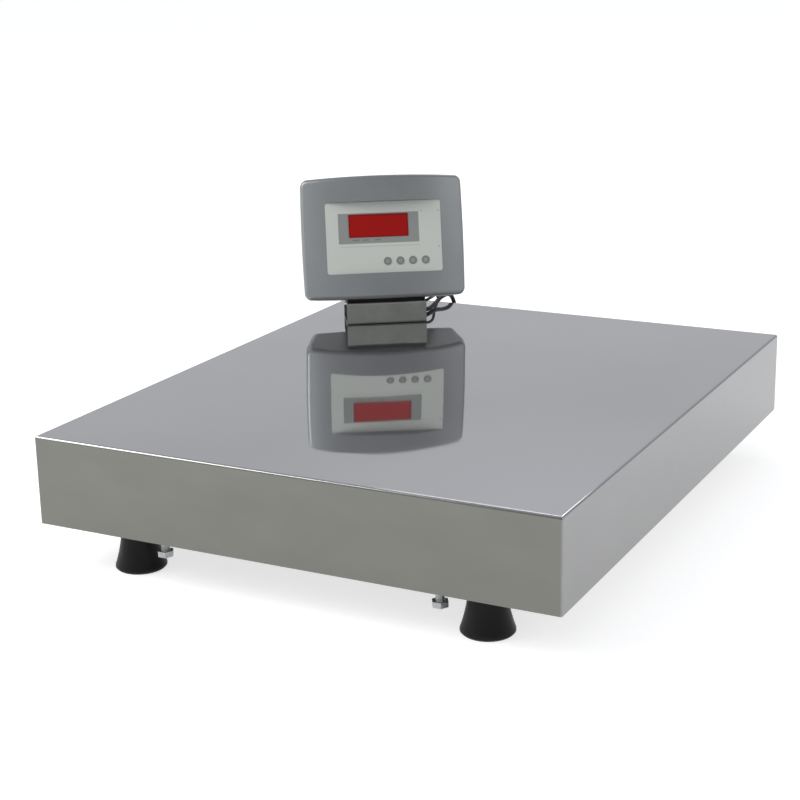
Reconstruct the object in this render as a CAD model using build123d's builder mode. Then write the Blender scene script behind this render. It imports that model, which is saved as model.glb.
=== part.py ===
from build123d import *
import os
from math import cos, pi, radians, sin, sqrt, tan

os.makedirs("parts", exist_ok=True)

# Bench scale with a stainless platter on a tube frame and a separate indicator on a small stand.
# X runs left to right along the front edge, Y from front to back, Z up. The origin is on the
# floor under the middle of the platter. All lengths are millimetres and all angles degrees.

# Platter
platter_width = 500.0
platter_depth = 600.0
platter_top = 123.2
skirt_height = 81.7
platter_sheet = 1.5
platter_bend = 2.5
platter_corner = 2.0

# Steel tube frame, a lower one on the feet and an upper one under the platter
tube_wall = 2.0
lower_tube_width = 40.0
lower_tube_height = 20.0
lower_tube_bottom = 52.0
foot_beam_inset = 50.0      # from the platter's side to a lower cross tube's end
upper_tube_width = 40.0
upper_tube_height = 16.0
rail_inset = 30.0           # from the platter's side to an upper cross tube's end
spine_width = 50.0
beam_inset = 32.0           # from the platter's front or back edge to a cross tube's middle
cap_thickness = 3.0
cap_plug = 12.0
pad_radius = 12.0
pad_thickness = 2.7
pad_inset = 22.0            # from a rail's end to the middle of its pad

# Feet
foot_side_inset = 79.5      # from the platter's side to a foot's middle
foot_end_inset = 38.0       # from its front or back edge to a foot's middle
foot_rim_radius = 23.1
foot_sole_radius = 21.6
foot_rim_height = 3.2
foot_waist_radius = 16.9
foot_waist_height = 28.5
foot_neck_radius = 15.4
foot_flank_hollow = 0.7     # how far the flank curves in between rim and waist
foot_height = 40.0
sole_recess_radius = 15.0
sole_recess_depth = 1.2
stud_radius = 5.95
stud_top = 68.0
stud_disc_radius = 11.0
stud_disc_height = 3.0
stud_disc_bottom = 10.0
stud_collar_flats = 17.0
foot_nut_flats = 18.0
foot_jam_nut_height = 7.0
foot_weld_nut_height = 10.0
thread_gap = 0.05
seat_gap = 0.3

# Overload stops
stop_side_inset = 116.0
stop_end_inset = 25.0
stop_head_bottom = 20.4
stop_tip_gap = 1.0
m8_radius = 4.0
m8_flats = 13.0
m8_head_height = 5.3
m8_nut_height = 6.5
fastener_gap = 0.1
hole_gap = 0.5

# Load cell, a single beam between the two spines
cell_length = 150.0
cell_width = 40.0
cell_height = 25.0
cell_bore_radius = 8.0
cell_bore_offset = 17.0
cell_slot_height = 7.0
cell_lip_radius = 4.0
cell_lip_length = 6.0
cell_lip_taper = 6
cell_edge = 0.8
spacer_thickness = 3.0
spacer_length = 44.0
cell_bolt_near = 42.0
cell_bolt_far = 64.0
cell_bolt_grip = 16.0
access_radius = 8.0

# Stand and indicator
stand_side_inset = 100.55   # from the platter's left side to the middle of the stand's front
stand_end_inset = 118.75    # from its back edge to the same point
stand_yaw = 33.2
stand_width = 86.7
stand_foot_depth = 46.0
stand_top_depth = 44.0
stand_sheet = 1.5
stand_bend = 2.6
face_tilt = 14.5
face_setback = 16.6         # from the stand's front to the middle of the panel, along the floor
face_rise = 92.8
housing_width = 175.0
housing_height = 130.0
housing_corner = 8.0
housing_edge = 4.5
side_bow = 1.0
edge_bow = 1.5
crown = 10.0                # how far the bowed front stands out before the panel
crown_radius = 200.0
parting_depth = 22.0
back_depth = 48.0
back_side_inset = 8.0
back_top_inset = 6.0
back_edge = 5.0
housing_wall = 2.5
boss_x = 71.0
boss_y = 50.0
boss_radius = 4.2
screw_radius = 1.5
screw_head_radius = 2.9
screw_head_height = 2.4
counterbore_radius = 3.3
counterbore_floor = 27.0
screw_engagement = 8.0
pad_boss_radius = 5.5
pad_boss_height = 1.6
pad_boss_x = 36.0
pad_boss_depth = 37.0
washer_thickness = 1.2
washer_radius = 5.0
m4_radius = 2.0
m4_head_radius = 3.9
m4_head_height = 2.6
m4_reach = 9.0

# Front panel
panel_width = 125.3
panel_height = 77.2
panel_corner = 3.0
panel_thickness = 0.6
panel_gap = 0.15
window_width = 64.4
window_height = 24.5
window_x = -5.4
window_y = 12.7
window_corner = 1.2
window_thickness = 1.6
window_ledge = 2.2
display_clear = 0.3
key_first_x = 3.0
key_pitch = 13.8
key_y = -26.1
key_radius = 4.7
key_gap = 0.1
key_thickness = 1.5
key_proud = 0.35
key_travel = 0.4
key_stem_radius = 2.4
board_depth = 11.0
board_width = 124.0
board_height = 78.0
board_thickness = 1.6
board_boss_x = 56.0
board_boss_y = 33.0
board_screw_head = 1.8
switch_size = 6.0
switch_height = 3.5
switch_button_radius = 1.7

# Cables and the adapter at the end of the thin one
cell_cable_diameter = 4.8
power_lead_diameter = 3.2
grommet_depth = 31.0
cell_grommet_x = 12.0
power_grommet_x = -6.0
grommet_flange = 1.4
grommet_flange_radius = 5.5
grommet_nose = 2.6
cable_window_length = 44.0
cable_window_width = 15.0
clip_wall = 1.0
clip_gap = 0.3
clip_width = 8.0
clip_tab = 7.0
coil_edge = 3.0
cell_coil_side_inset = 144.0
cell_coil_beyond = 67.0     # from the platter's back edge to the coil's middle
cell_coil_radius = 27.0
cell_coil_bundle = 14.4
power_coil_side_inset = 80.0
power_coil_beyond = 50.0
power_coil_radius = 18.0
power_coil_bundle = 12.8
adapter_length = 48.0
adapter_width = 40.0
adapter_height = 26.0
adapter_edge = 4.0
adapter_relief_length = 18.0
adapter_relief_radius = 4.0
adapter_axis_height = 8.0
adapter_pin_radius = 2.4
adapter_pin_length = 19.0
adapter_pin_pitch = 19.0
adapter_pin_root = 6.0

# Places worked out from the platter's edges
half_width = platter_width / 2
half_depth = platter_depth / 2
foot_beam_length = platter_width - 2 * foot_beam_inset
rail_length = platter_width - 2 * rail_inset
beam_offset = half_depth - beam_inset
foot_x = half_width - foot_side_inset
foot_y = half_depth - foot_end_inset
stop_x = half_width - stop_side_inset
stop_y = half_depth - stop_end_inset
stand_x = stand_side_inset - half_width
stand_y = half_depth - stand_end_inset
cell_coil_x = cell_coil_side_inset - half_width
cell_coil_y = half_depth + cell_coil_beyond
power_coil_x = power_coil_side_inset - half_width
power_coil_y = half_depth + power_coil_beyond

# Heights worked out from the sizes above
lower_tube_top = lower_tube_bottom + lower_tube_height
upper_tube_top = platter_top - platter_sheet - pad_thickness
upper_tube_bottom = upper_tube_top - upper_tube_height
cell_bottom = lower_tube_top + spacer_thickness
cell_top = cell_bottom + cell_height
upper_spacer = upper_tube_bottom - cell_top
spine_length = 2 * beam_offset - lower_tube_width
upper_spine_length = 2 * beam_offset - upper_tube_width
foot_places = {
    "front_left": (-foot_x, -foot_y),
    "front_right": (foot_x, -foot_y),
    "rear_left": (-foot_x, foot_y),
    "rear_right": (foot_x, foot_y),
}
foot_points = list(foot_places.values())
stop_points = [(sx * stop_x, sy * stop_y) for sx in (-1, 1) for sy in (-1, 1)]

# Planes of the stand and of the indicator's face
yaw = radians(stand_yaw)
tilt = radians(face_tilt)
across = Vector(cos(yaw), sin(yaw), 0)
behind = Vector(-sin(yaw), cos(yaw), 0)
toward = Vector(sin(yaw) * cos(tilt), -cos(yaw) * cos(tilt), sin(tilt))
stand_origin = Vector(stand_x, stand_y, platter_top)
stand_side = Plane(origin=stand_origin, x_dir=behind, z_dir=across)
face = Plane(
    origin=stand_origin + behind * face_setback + Vector(0, 0, face_rise),
    x_dir=across,
    z_dir=toward,
)
plan = Plane(origin=face.origin, x_dir=across, z_dir=-face.y_dir)


# Hollow rectangular tube, centred on the plane it is drawn on
def box_tube(plane, width, height, length):
    with BuildPart() as tube:
        with BuildSketch(plane):
            RectangleRounded(width, height, tube_wall)
            RectangleRounded(
                width - 2 * tube_wall, height - 2 * tube_wall, tube_wall / 2, mode=Mode.SUBTRACT
            )
        extrude(amount=length / 2, both=True)
    return tube.part


# Upright rods of one radius that stand on the given points
def rods(points, bottom, top, radius):
    with BuildPart() as group:
        with BuildSketch(Plane.XY.offset(bottom)):
            with Locations(*points):
                Circle(radius)
        extrude(amount=top - bottom)
    return group.part


# Upright hexagons of one size that stand on the given points
def hexagons(points, bottom, top, flats):
    with BuildPart() as group:
        with BuildSketch(Plane.XY.offset(bottom)):
            with Locations(*points):
                RegularPolygon(flats / 2, 6, major_radius=False)
        extrude(amount=top - bottom)
    return group.part


def nuts(points, bottom, height, flats, bore):
    with BuildPart() as group:
        add(hexagons(points, bottom, bottom + height, flats))
        chamfer(group.edges().filter_by(GeomType.LINE).group_by(Axis.Z)[-1], flats / 24)
        add(rods(points, bottom, bottom + height, bore), mode=Mode.SUBTRACT)
    return group.part


# Lower frame: two cross tubes on the feet, joined by a spine
def foot_beam(side):
    middle = (0, side * beam_offset, lower_tube_bottom + lower_tube_height / 2)
    plane = Plane(origin=middle, x_dir=(0, 1, 0), z_dir=(1, 0, 0))
    feet = [p for p in foot_points if p[1] * side > 0]
    stops = [p for p in stop_points if p[1] * side > 0]
    with BuildPart() as beam:
        add(box_tube(plane, lower_tube_width, lower_tube_height, foot_beam_length))
        add(
            rods(feet, lower_tube_bottom, lower_tube_top, stud_radius + hole_gap),
            mode=Mode.SUBTRACT,
        )
        add(
            rods(stops, lower_tube_bottom, lower_tube_top, m8_radius + hole_gap),
            mode=Mode.SUBTRACT,
        )
    return beam.part


front_foot_beam = foot_beam(-1)
front_foot_beam.label = "front_foot_beam"
export_step(front_foot_beam, "parts/front_foot_beam.step")

rear_foot_beam = foot_beam(1)
rear_foot_beam.label = "rear_foot_beam"
export_step(rear_foot_beam, "parts/rear_foot_beam.step")

cell_end = (cell_bolt_near + cell_bolt_far) / 2
lower_bolt_points = [(0, cell_bolt_near), (0, cell_bolt_far)]
upper_bolt_points = [(0, -cell_bolt_near), (0, -cell_bolt_far)]

lower_spine_plane = Plane(
    origin=(0, 0, lower_tube_bottom + lower_tube_height / 2), x_dir=(1, 0, 0), z_dir=(0, -1, 0)
)
with BuildPart() as lower_spine:
    add(box_tube(lower_spine_plane, spine_width, lower_tube_height, spine_length))
    # Screw holes in the upper wall, and larger holes below that let the heads in
    add(
        rods(lower_bolt_points, lower_tube_bottom, lower_tube_top, m8_radius + hole_gap),
        mode=Mode.SUBTRACT,
    )
    add(
        rods(
            lower_bolt_points, lower_tube_bottom, lower_tube_bottom + 2 * tube_wall, access_radius
        ),
        mode=Mode.SUBTRACT,
    )
lower_spine.part.label = "lower_spine"
export_step(lower_spine.part, "parts/lower_spine.step")

# Upper frame: the spine on the cell's free end and two rails that carry the platter's pads
upper_spine_plane = Plane(
    origin=(0, 0, upper_tube_bottom + upper_tube_height / 2), x_dir=(1, 0, 0), z_dir=(0, -1, 0)
)
with BuildPart() as upper_spine:
    add(box_tube(upper_spine_plane, spine_width, upper_tube_height, upper_spine_length))
    add(
        rods(upper_bolt_points, upper_tube_bottom, upper_tube_top, m8_radius + hole_gap),
        mode=Mode.SUBTRACT,
    )
    add(
        rods(upper_bolt_points, upper_tube_top - 2 * tube_wall, upper_tube_top, access_radius),
        mode=Mode.SUBTRACT,
    )
upper_spine.part.label = "upper_spine"
export_step(upper_spine.part, "parts/upper_spine.step")


def upper_rail(side):
    middle = (0, side * beam_offset, upper_tube_bottom + upper_tube_height / 2)
    plane = Plane(origin=middle, x_dir=(0, 1, 0), z_dir=(1, 0, 0))
    return box_tube(plane, upper_tube_width, upper_tube_height, rail_length)


upper_front_rail = upper_rail(-1)
upper_front_rail.label = "upper_front_rail"
export_step(upper_front_rail, "parts/upper_front_rail.step")

upper_rear_rail = upper_rail(1)
upper_rear_rail.label = "upper_rear_rail"
export_step(upper_rear_rail, "parts/upper_rear_rail.step")


# Plastic plugs that close the ends of the cross tubes
def end_caps(width, height, bottom, tube_length):
    inner_width = width - 2 * tube_wall - 2 * fastener_gap
    inner_height = height - 2 * tube_wall - 2 * fastener_gap
    with BuildPart() as caps:
        for end in (-1, 1):
            for side in (-1, 1):
                middle = (end * tube_length / 2, side * beam_offset, bottom + height / 2)
                out = Plane(origin=middle, x_dir=(0, 1, 0), z_dir=(end, 0, 0))
                with BuildSketch(out):
                    RectangleRounded(width, height, tube_wall)
                extrude(amount=cap_thickness)
                with BuildSketch(out):
                    RectangleRounded(inner_width, inner_height, tube_wall / 2)
                extrude(amount=-cap_plug)
    return caps.part


lower_beam_caps = end_caps(
    lower_tube_width, lower_tube_height, lower_tube_bottom, foot_beam_length
)
lower_beam_caps.label = "lower_beam_caps"
export_step(lower_beam_caps, "parts/lower_beam_caps.step")

upper_rail_caps = end_caps(upper_tube_width, upper_tube_height, upper_tube_bottom, rail_length)
upper_rail_caps.label = "upper_rail_caps"
export_step(upper_rail_caps, "parts/upper_rail_caps.step")

# Rubber pads between the rails and the platter
pad_points = [
    (sx * (rail_length / 2 - pad_inset), sy * beam_offset) for sx in (-1, 1) for sy in (-1, 1)
]
with BuildPart() as platter_pads:
    add(rods(pad_points, upper_tube_top, upper_tube_top + pad_thickness, pad_radius))
platter_pads.part.label = "platter_pads"
export_step(platter_pads.part, "parts/platter_pads.step")

# Load cell: an aluminium beam thinned by two joined bores, so that it bends like a parallelogram
cell_middle = (cell_bottom + cell_top) / 2
cell_side = Plane(origin=(0, 0, cell_middle), x_dir=(0, 1, 0), z_dir=(1, 0, 0))
with BuildPart() as load_cell:
    with BuildSketch(cell_side):
        Rectangle(cell_length, cell_height)
        with Locations((-cell_bore_offset, 0), (cell_bore_offset, 0)):
            Circle(cell_bore_radius, mode=Mode.SUBTRACT)
        Rectangle(2 * cell_bore_offset, cell_slot_height, mode=Mode.SUBTRACT)
    extrude(amount=cell_width / 2, both=True)
    chamfer(load_cell.edges().filter_by(Axis.Y), cell_edge)
    add(
        rods(lower_bolt_points, cell_bottom, cell_bottom + cell_bolt_grip, m8_radius + fastener_gap),
        mode=Mode.SUBTRACT,
    )
    add(
        rods(upper_bolt_points, cell_top - cell_bolt_grip, cell_top, m8_radius + fastener_gap),
        mode=Mode.SUBTRACT,
    )
    # Lip round the cable's exit, on the left side of the fixed end
    with BuildSketch(
        Plane(origin=(-cell_width / 2, cell_end, cell_middle), x_dir=(0, 1, 0), z_dir=(-1, 0, 0))
    ):
        Circle(cell_lip_radius)
    extrude(amount=cell_lip_length, taper=cell_lip_taper)
load_cell.part.label = "load_cell"
export_step(load_cell.part, "parts/load_cell.step")


# Steel plate that holds the cell's free middle off a spine
def spacer(bottom, thickness, points):
    middle = sum(p[1] for p in points) / len(points)
    with BuildPart() as plate:
        with BuildSketch(Plane.XY.offset(bottom)):
            with Locations((0, middle)):
                Rectangle(cell_width, spacer_length)
            with Locations(*points):
                Circle(m8_radius + hole_gap, mode=Mode.SUBTRACT)
        extrude(amount=thickness)
    return plate.part


cell_spacer_lower = spacer(lower_tube_top, spacer_thickness, lower_bolt_points)
cell_spacer_lower.label = "cell_spacer_lower"
export_step(cell_spacer_lower, "parts/cell_spacer_lower.step")

cell_spacer_upper = spacer(cell_top, upper_spacer, upper_bolt_points)
cell_spacer_upper.label = "cell_spacer_upper"
export_step(cell_spacer_upper, "parts/cell_spacer_upper.step")

lower_seat = lower_tube_top - tube_wall
upper_seat = upper_tube_bottom + tube_wall
cell_screw_depth = cell_bolt_grip - 1.0
with BuildPart() as cell_bolts_lower:
    add(hexagons(lower_bolt_points, lower_seat - m8_head_height, lower_seat, m8_flats))
    add(rods(lower_bolt_points, lower_seat, cell_bottom + cell_screw_depth, m8_radius))
cell_bolts_lower.part.label = "cell_bolts_lower"
export_step(cell_bolts_lower.part, "parts/cell_bolts_lower.step")

with BuildPart() as cell_bolts_upper:
    add(hexagons(upper_bolt_points, upper_seat, upper_seat + m8_head_height, m8_flats))
    add(rods(upper_bolt_points, cell_top - cell_screw_depth, upper_seat, m8_radius))
cell_bolts_upper.part.label = "cell_bolts_upper"
export_step(cell_bolts_upper.part, "parts/cell_bolts_upper.step")

# Overload stops: long bolts, heads down, whose tips wait under the upper rails
stop_tip = upper_tube_bottom - stop_tip_gap
with BuildPart() as stop_bolts:
    add(hexagons(stop_points, stop_head_bottom, stop_head_bottom + m8_head_height, m8_flats))
    chamfer(stop_bolts.edges().filter_by(GeomType.LINE).group_by(Axis.Z)[0], m8_flats / 24)
    add(rods(stop_points, stop_head_bottom + m8_head_height, stop_tip, m8_radius))
stop_bolts.part.label = "stop_bolts"
export_step(stop_bolts.part, "parts/stop_bolts.step")

inside_floor = lower_tube_bottom + tube_wall
stop_jam_nuts = nuts(
    stop_points, lower_tube_bottom - m8_nut_height, m8_nut_height, m8_flats, m8_radius + fastener_gap
)
stop_jam_nuts.label = "stop_jam_nuts"
export_step(stop_jam_nuts, "parts/stop_jam_nuts.step")

stop_weld_nuts = nuts(
    stop_points, inside_floor, m8_nut_height, m8_flats, m8_radius + fastener_gap
)
stop_weld_nuts.label = "stop_weld_nuts"
export_step(stop_weld_nuts, "parts/stop_weld_nuts.step")

# Nuts of the feet: one welded inside each beam and one locked under it
foot_jam_nuts = nuts(
    foot_points,
    lower_tube_bottom - foot_jam_nut_height,
    foot_jam_nut_height,
    foot_nut_flats,
    stud_radius + thread_gap,
)
foot_jam_nuts.label = "foot_jam_nuts"
export_step(foot_jam_nuts, "parts/foot_jam_nuts.step")

foot_weld_nuts = nuts(
    foot_points, inside_floor, foot_weld_nut_height, foot_nut_flats, stud_radius + thread_gap
)
foot_weld_nuts.label = "foot_weld_nuts"
export_step(foot_weld_nuts, "parts/foot_weld_nuts.step")

# Feet: a rubber cone moulded round the head of a threaded stud
collar_top = lower_tube_bottom - foot_jam_nut_height - seat_gap
for place, (x, y) in foot_places.items():
    with BuildPart() as foot_rubber:
        with BuildSketch(Plane(origin=(x, y, 0), x_dir=(1, 0, 0), z_dir=(0, -1, 0))):
            with BuildLine():
                Polyline(
                    (0, foot_height),
                    (0, sole_recess_depth),
                    (sole_recess_radius, sole_recess_depth),
                    (sole_recess_radius + sole_recess_depth, 0),
                    (foot_sole_radius, 0),
                )
                Polyline((foot_sole_radius, 0), (foot_rim_radius, foot_rim_height / 2))
                Line((foot_rim_radius, foot_rim_height / 2), (foot_rim_radius, foot_rim_height))
                ThreePointArc(
                    (foot_rim_radius, foot_rim_height),
                    (
                        (foot_rim_radius + foot_waist_radius) / 2 - foot_flank_hollow,
                        (foot_rim_height + foot_waist_height) / 2,
                    ),
                    (foot_waist_radius, foot_waist_height),
                )
                Line((foot_waist_radius, foot_waist_height), (foot_neck_radius, foot_height))
                Line((foot_neck_radius, foot_height), (0, foot_height))
            make_face()
        revolve(axis=Axis((x, y, 0), (0, 0, 1)))
        add(
            rods(
                [(x, y)],
                stud_disc_bottom - fastener_gap,
                stud_disc_bottom + stud_disc_height + fastener_gap,
                stud_disc_radius + fastener_gap,
            ),
            mode=Mode.SUBTRACT,
        )
        add(
            rods([(x, y)], stud_disc_bottom, foot_height, stud_radius + fastener_gap),
            mode=Mode.SUBTRACT,
        )
    foot_rubber.part.label = f"foot_rubber_{place}"
    export_step(foot_rubber.part, f"parts/foot_rubber_{place}.step")

    with BuildPart() as foot_stud:
        add(
            rods(
                [(x, y)], stud_disc_bottom, stud_disc_bottom + stud_disc_height, stud_disc_radius
            )
        )
        add(rods([(x, y)], stud_disc_bottom, stud_top, stud_radius))
        add(hexagons([(x, y)], foot_height, collar_top, stud_collar_flats))
    foot_stud.part.label = f"foot_stud_{place}"
    export_step(foot_stud.part, f"parts/foot_stud_{place}.step")

# Platter: one folded sheet, open below, with closed corners
with BuildPart() as platter:
    with BuildSketch(Plane.XY.offset(platter_top - skirt_height)):
        Rectangle(platter_width, platter_depth)
    extrude(amount=skirt_height)
    fillet(platter.edges().filter_by(Axis.Z), platter_corner)
    fillet(platter.faces().sort_by(Axis.Z)[-1].edges(), platter_bend)
    offset(amount=-platter_sheet, openings=platter.faces().sort_by(Axis.Z)[0])
platter.part.label = "platter"
export_step(platter.part, "parts/platter.step")


# Outline of the indicator's housing, whose four sides bow out a little
def outline(plane, side=0.0, top=0.0, bottom=0.0, radius=housing_corner):
    half = housing_width / 2 - side
    high = housing_height / 2 - top
    low = -housing_height / 2 + bottom
    with BuildSketch(plane) as shape:
        with BuildLine():
            ThreePointArc((-half, low), (0, low - edge_bow), (half, low))
            ThreePointArc((half, low), (half + side_bow, (low + high) / 2), (half, high))
            ThreePointArc((half, high), (0, high + edge_bow), (-half, high))
            ThreePointArc((-half, high), (-half - side_bow, (low + high) / 2), (-half, low))
        make_face()
        fillet(shape.vertices(), radius)
    return shape.sketch


# Height of the bowed front over the panel's plane, at a distance from the middle line
def front_at(x, inset=0.0):
    reach = crown_radius - inset
    return crown - crown_radius + sqrt(reach**2 - x**2)


# Solid with the housing's outline and its bowed front, drawn in by inset and cut off at depth
def bowed_block(inset, depth):
    half = housing_width / 2 + side_bow + 1
    with BuildPart() as block:
        with BuildSketch(plan):
            with BuildLine():
                front = ThreePointArc(
                    (-half, front_at(half, inset)),
                    (0, crown - inset),
                    (half, front_at(half, inset)),
                )
                Polyline(front @ 1, (half, -depth), (-half, -depth), front @ 0)
            make_face()
        extrude(amount=housing_height, both=True)
        extrude(
            to_extrude=outline(
                face.offset(-depth), inset, inset, inset, housing_corner - inset
            ),
            amount=depth + crown,
            mode=Mode.INTERSECT,
        )
    return block.part


boss_points = [(sx * boss_x, sy * boss_y) for sx in (-1, 1) for sy in (-1, 1)]
board_boss_points = [
    (sx * board_boss_x, sy * board_boss_y) for sx in (-1, 1) for sy in (-1, 1)
]
key_points = [(key_first_x + i * key_pitch, key_y) for i in range(4)]
seat_half = panel_width / 2 + housing_wall
recess_floor = -panel_thickness
seat_back = recess_floor - housing_wall

# Space inside the front shell: it leaves the panel's seat and the screw bosses standing
with BuildPart() as front_space:
    add(bowed_block(housing_wall, parting_depth + 1))
    with BuildSketch(plan):
        with BuildLine():
            under_crown = ThreePointArc(
                (-seat_half, front_at(seat_half, 0)), (0, crown), (seat_half, front_at(seat_half, 0))
            )
            Polyline(
                under_crown @ 1, (seat_half, seat_back), (-seat_half, seat_back), under_crown @ 0
            )
        make_face()
    extrude(amount=panel_height / 2 + housing_wall, both=True, mode=Mode.SUBTRACT)
    with BuildSketch(face.offset(-parting_depth - 1)):
        with Locations(*boss_points):
            Circle(boss_radius)
    extrude(amount=parting_depth + 1 + crown, mode=Mode.SUBTRACT)
    with BuildSketch(face.offset(-board_depth)):
        with Locations(*board_boss_points):
            Circle(boss_radius)
    extrude(amount=board_depth, mode=Mode.SUBTRACT)

# Front shell: bowed bezel with a flat recess for the panel
with BuildPart() as front_shell:
    add(bowed_block(0, parting_depth))
    bowed_face = front_shell.faces().filter_by(GeomType.CYLINDER).sort_by(SortBy.AREA)[-1]
    fillet(bowed_face.edges(), housing_edge)
    add(front_space.part, mode=Mode.SUBTRACT)
    with BuildSketch(face.offset(recess_floor)):
        RectangleRounded(panel_width + 2 * panel_gap, panel_height + 2 * panel_gap, panel_corner)
    extrude(amount=panel_thickness + crown, mode=Mode.SUBTRACT)
    # Stepped opening for the window, and the smaller one through which the digits shine
    with BuildSketch(face.offset(-window_thickness)):
        with Locations((window_x, window_y)):
            RectangleRounded(
                window_width + 2 * panel_gap, window_height + 2 * panel_gap, window_corner
            )
    extrude(amount=window_thickness, mode=Mode.SUBTRACT)
    with BuildSketch(face.offset(seat_back)):
        with Locations((window_x, window_y)):
            Rectangle(window_width - 2 * window_ledge, window_height - 2 * window_ledge)
    extrude(amount=housing_wall, mode=Mode.SUBTRACT)
    # Pockets for the key caps and holes for their stems
    with BuildSketch(face.offset(-key_thickness + key_proud - key_travel - key_gap)):
        with Locations(*key_points):
            Circle(key_radius + key_gap)
    extrude(amount=key_thickness, mode=Mode.SUBTRACT)
    with BuildSketch(face.offset(seat_back)):
        with Locations(*key_points):
            Circle(key_stem_radius + key_gap)
    extrude(amount=housing_wall, mode=Mode.SUBTRACT)
    # Blind holes for the screws
    with BuildSketch(face.offset(-parting_depth)):
        with Locations(*boss_points):
            Circle(screw_radius + fastener_gap)
    extrude(amount=screw_engagement + 1, mode=Mode.SUBTRACT)
    with BuildSketch(face.offset(-board_depth)):
        with Locations(*board_boss_points):
            Circle(screw_radius + fastener_gap)
    extrude(amount=board_depth + seat_back - 1, mode=Mode.SUBTRACT)
front_shell.part.label = "front_shell"
export_step(front_shell.part, "parts/front_shell.step")

# Underside of the housing, with y towards the viewer
under = Plane(origin=face.origin, x_dir=across, z_dir=-face.y_dir)
under_skin = housing_height / 2 + edge_bow
pad_face = housing_height / 2 + edge_bow + pad_boss_height
pad_boss_points = [(-pad_boss_x, -pad_boss_depth), (pad_boss_x, -pad_boss_depth)]
grommet_points = {
    "cell": (cell_grommet_x, -grommet_depth),
    "power": (power_grommet_x, -grommet_depth),
}
grommet_bore = {"cell": cell_cable_diameter / 2, "power": power_lead_diameter / 2}


# Tapered solid with the housing's outline at the parting plane, drawn in towards the back
def tapered_block(inset, start, depth):
    with BuildPart() as block:
        corner = housing_corner - inset
        loft(
            sections=[
                outline(face.offset(-start), inset, inset, inset, corner).face(),
                outline(
                    face.offset(-depth),
                    back_side_inset + inset,
                    back_top_inset + inset,
                    inset,
                    corner,
                ).face(),
            ]
        )
    return block.part


with BuildPart() as rear_space:
    add(tapered_block(housing_wall, parting_depth - 0.5, back_depth - housing_wall))
    with BuildSketch(face.offset(-parting_depth)):
        with Locations(*boss_points):
            Circle(boss_radius + 0.6)
    extrude(amount=-back_depth, mode=Mode.SUBTRACT)
    with BuildSketch(under.offset(housing_height / 2 - m4_reach)):
        with Locations(*pad_boss_points):
            Circle(pad_boss_radius)
    extrude(amount=2 * m4_reach, mode=Mode.SUBTRACT)

# Rear shell: drafted back cover with counterbored screw posts and two pads under it
with BuildPart() as rear_shell:
    add(tapered_block(0, parting_depth, back_depth))
    back_face = (
        rear_shell.faces()
        .filter_by(GeomType.PLANE)
        .sort_by(lambda f: (f.center() - face.origin).dot(toward))[0]
    )
    fillet(back_face.edges(), back_edge)
    with BuildSketch(under.offset(housing_height / 2 - housing_wall)):
        with Locations(*pad_boss_points):
            Circle(pad_boss_radius)
    extrude(amount=pad_face - housing_height / 2 + housing_wall)
    add(rear_space.part, mode=Mode.SUBTRACT)
    with BuildSketch(face.offset(-parting_depth)):
        with Locations(*boss_points):
            Circle(screw_radius + 2 * fastener_gap)
    extrude(amount=-back_depth, mode=Mode.SUBTRACT)
    with BuildSketch(face.offset(-counterbore_floor)):
        with Locations(*boss_points):
            Circle(counterbore_radius)
    extrude(amount=-back_depth, mode=Mode.SUBTRACT)
    with BuildSketch(under.offset(pad_face - m4_reach + washer_thickness)):
        with Locations(*pad_boss_points):
            Circle(m4_radius + fastener_gap)
    extrude(amount=m4_reach, mode=Mode.SUBTRACT)
    with BuildSketch(under.offset(housing_height / 2 - 2 * housing_wall)):
        for which, point in grommet_points.items():
            with Locations(point):
                Circle(grommet_bore[which] + clip_wall + fastener_gap)
    extrude(amount=4 * housing_wall, mode=Mode.SUBTRACT)
rear_shell.part.label = "rear_shell"
export_step(rear_shell.part, "parts/rear_shell.step")

# Screws that hold the two shells together, from behind
with BuildPart() as housing_screws:
    with BuildSketch(face.offset(-counterbore_floor)):
        with Locations(*boss_points):
            Circle(screw_radius)
    extrude(amount=counterbore_floor - parting_depth + screw_engagement)
    with BuildSketch(face.offset(-counterbore_floor)):
        with Locations(*boss_points):
            Circle(screw_head_radius)
    extrude(amount=-screw_head_height)
housing_screws.part.label = "housing_screws"
export_step(housing_screws.part, "parts/housing_screws.step")

# Printed panel, with openings for the window and the four keys
with BuildPart() as overlay_panel:
    with BuildSketch(face.offset(recess_floor)):
        RectangleRounded(panel_width, panel_height, panel_corner - panel_gap)
        with Locations((window_x, window_y)):
            RectangleRounded(
                window_width + 2 * panel_gap,
                window_height + 2 * panel_gap,
                window_corner,
                mode=Mode.SUBTRACT,
            )
        with Locations(*key_points):
            Circle(key_radius + key_gap, mode=Mode.SUBTRACT)
    extrude(amount=panel_thickness)
overlay_panel.part.label = "overlay_panel"
export_step(overlay_panel.part, "parts/overlay_panel.step")

with BuildPart() as display_window:
    with BuildSketch(face.offset(-window_thickness)):
        with Locations((window_x, window_y)):
            RectangleRounded(window_width, window_height, window_corner)
    extrude(amount=window_thickness)
display_window.part.label = "display_window"
export_step(display_window.part, "parts/display_window.step")

# Block of digits, which stands on the board and looks through the window
with BuildPart() as display_module:
    with BuildSketch(face.offset(-board_depth)):
        with Locations((window_x, window_y)):
            Rectangle(
                window_width - 2 * window_ledge - 2 * display_clear,
                window_height - 2 * window_ledge - 2 * display_clear,
            )
    extrude(amount=board_depth - window_thickness - display_clear)
display_module.part.label = "display_module"
export_step(display_module.part, "parts/display_module.step")

with BuildPart() as main_board:
    with BuildSketch(face.offset(-board_depth)):
        Rectangle(board_width, board_height)
        with Locations(*board_boss_points):
            Circle(screw_radius + 2 * fastener_gap, mode=Mode.SUBTRACT)
    extrude(amount=-board_thickness)
main_board.part.label = "main_board"
export_step(main_board.part, "parts/main_board.step")

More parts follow.
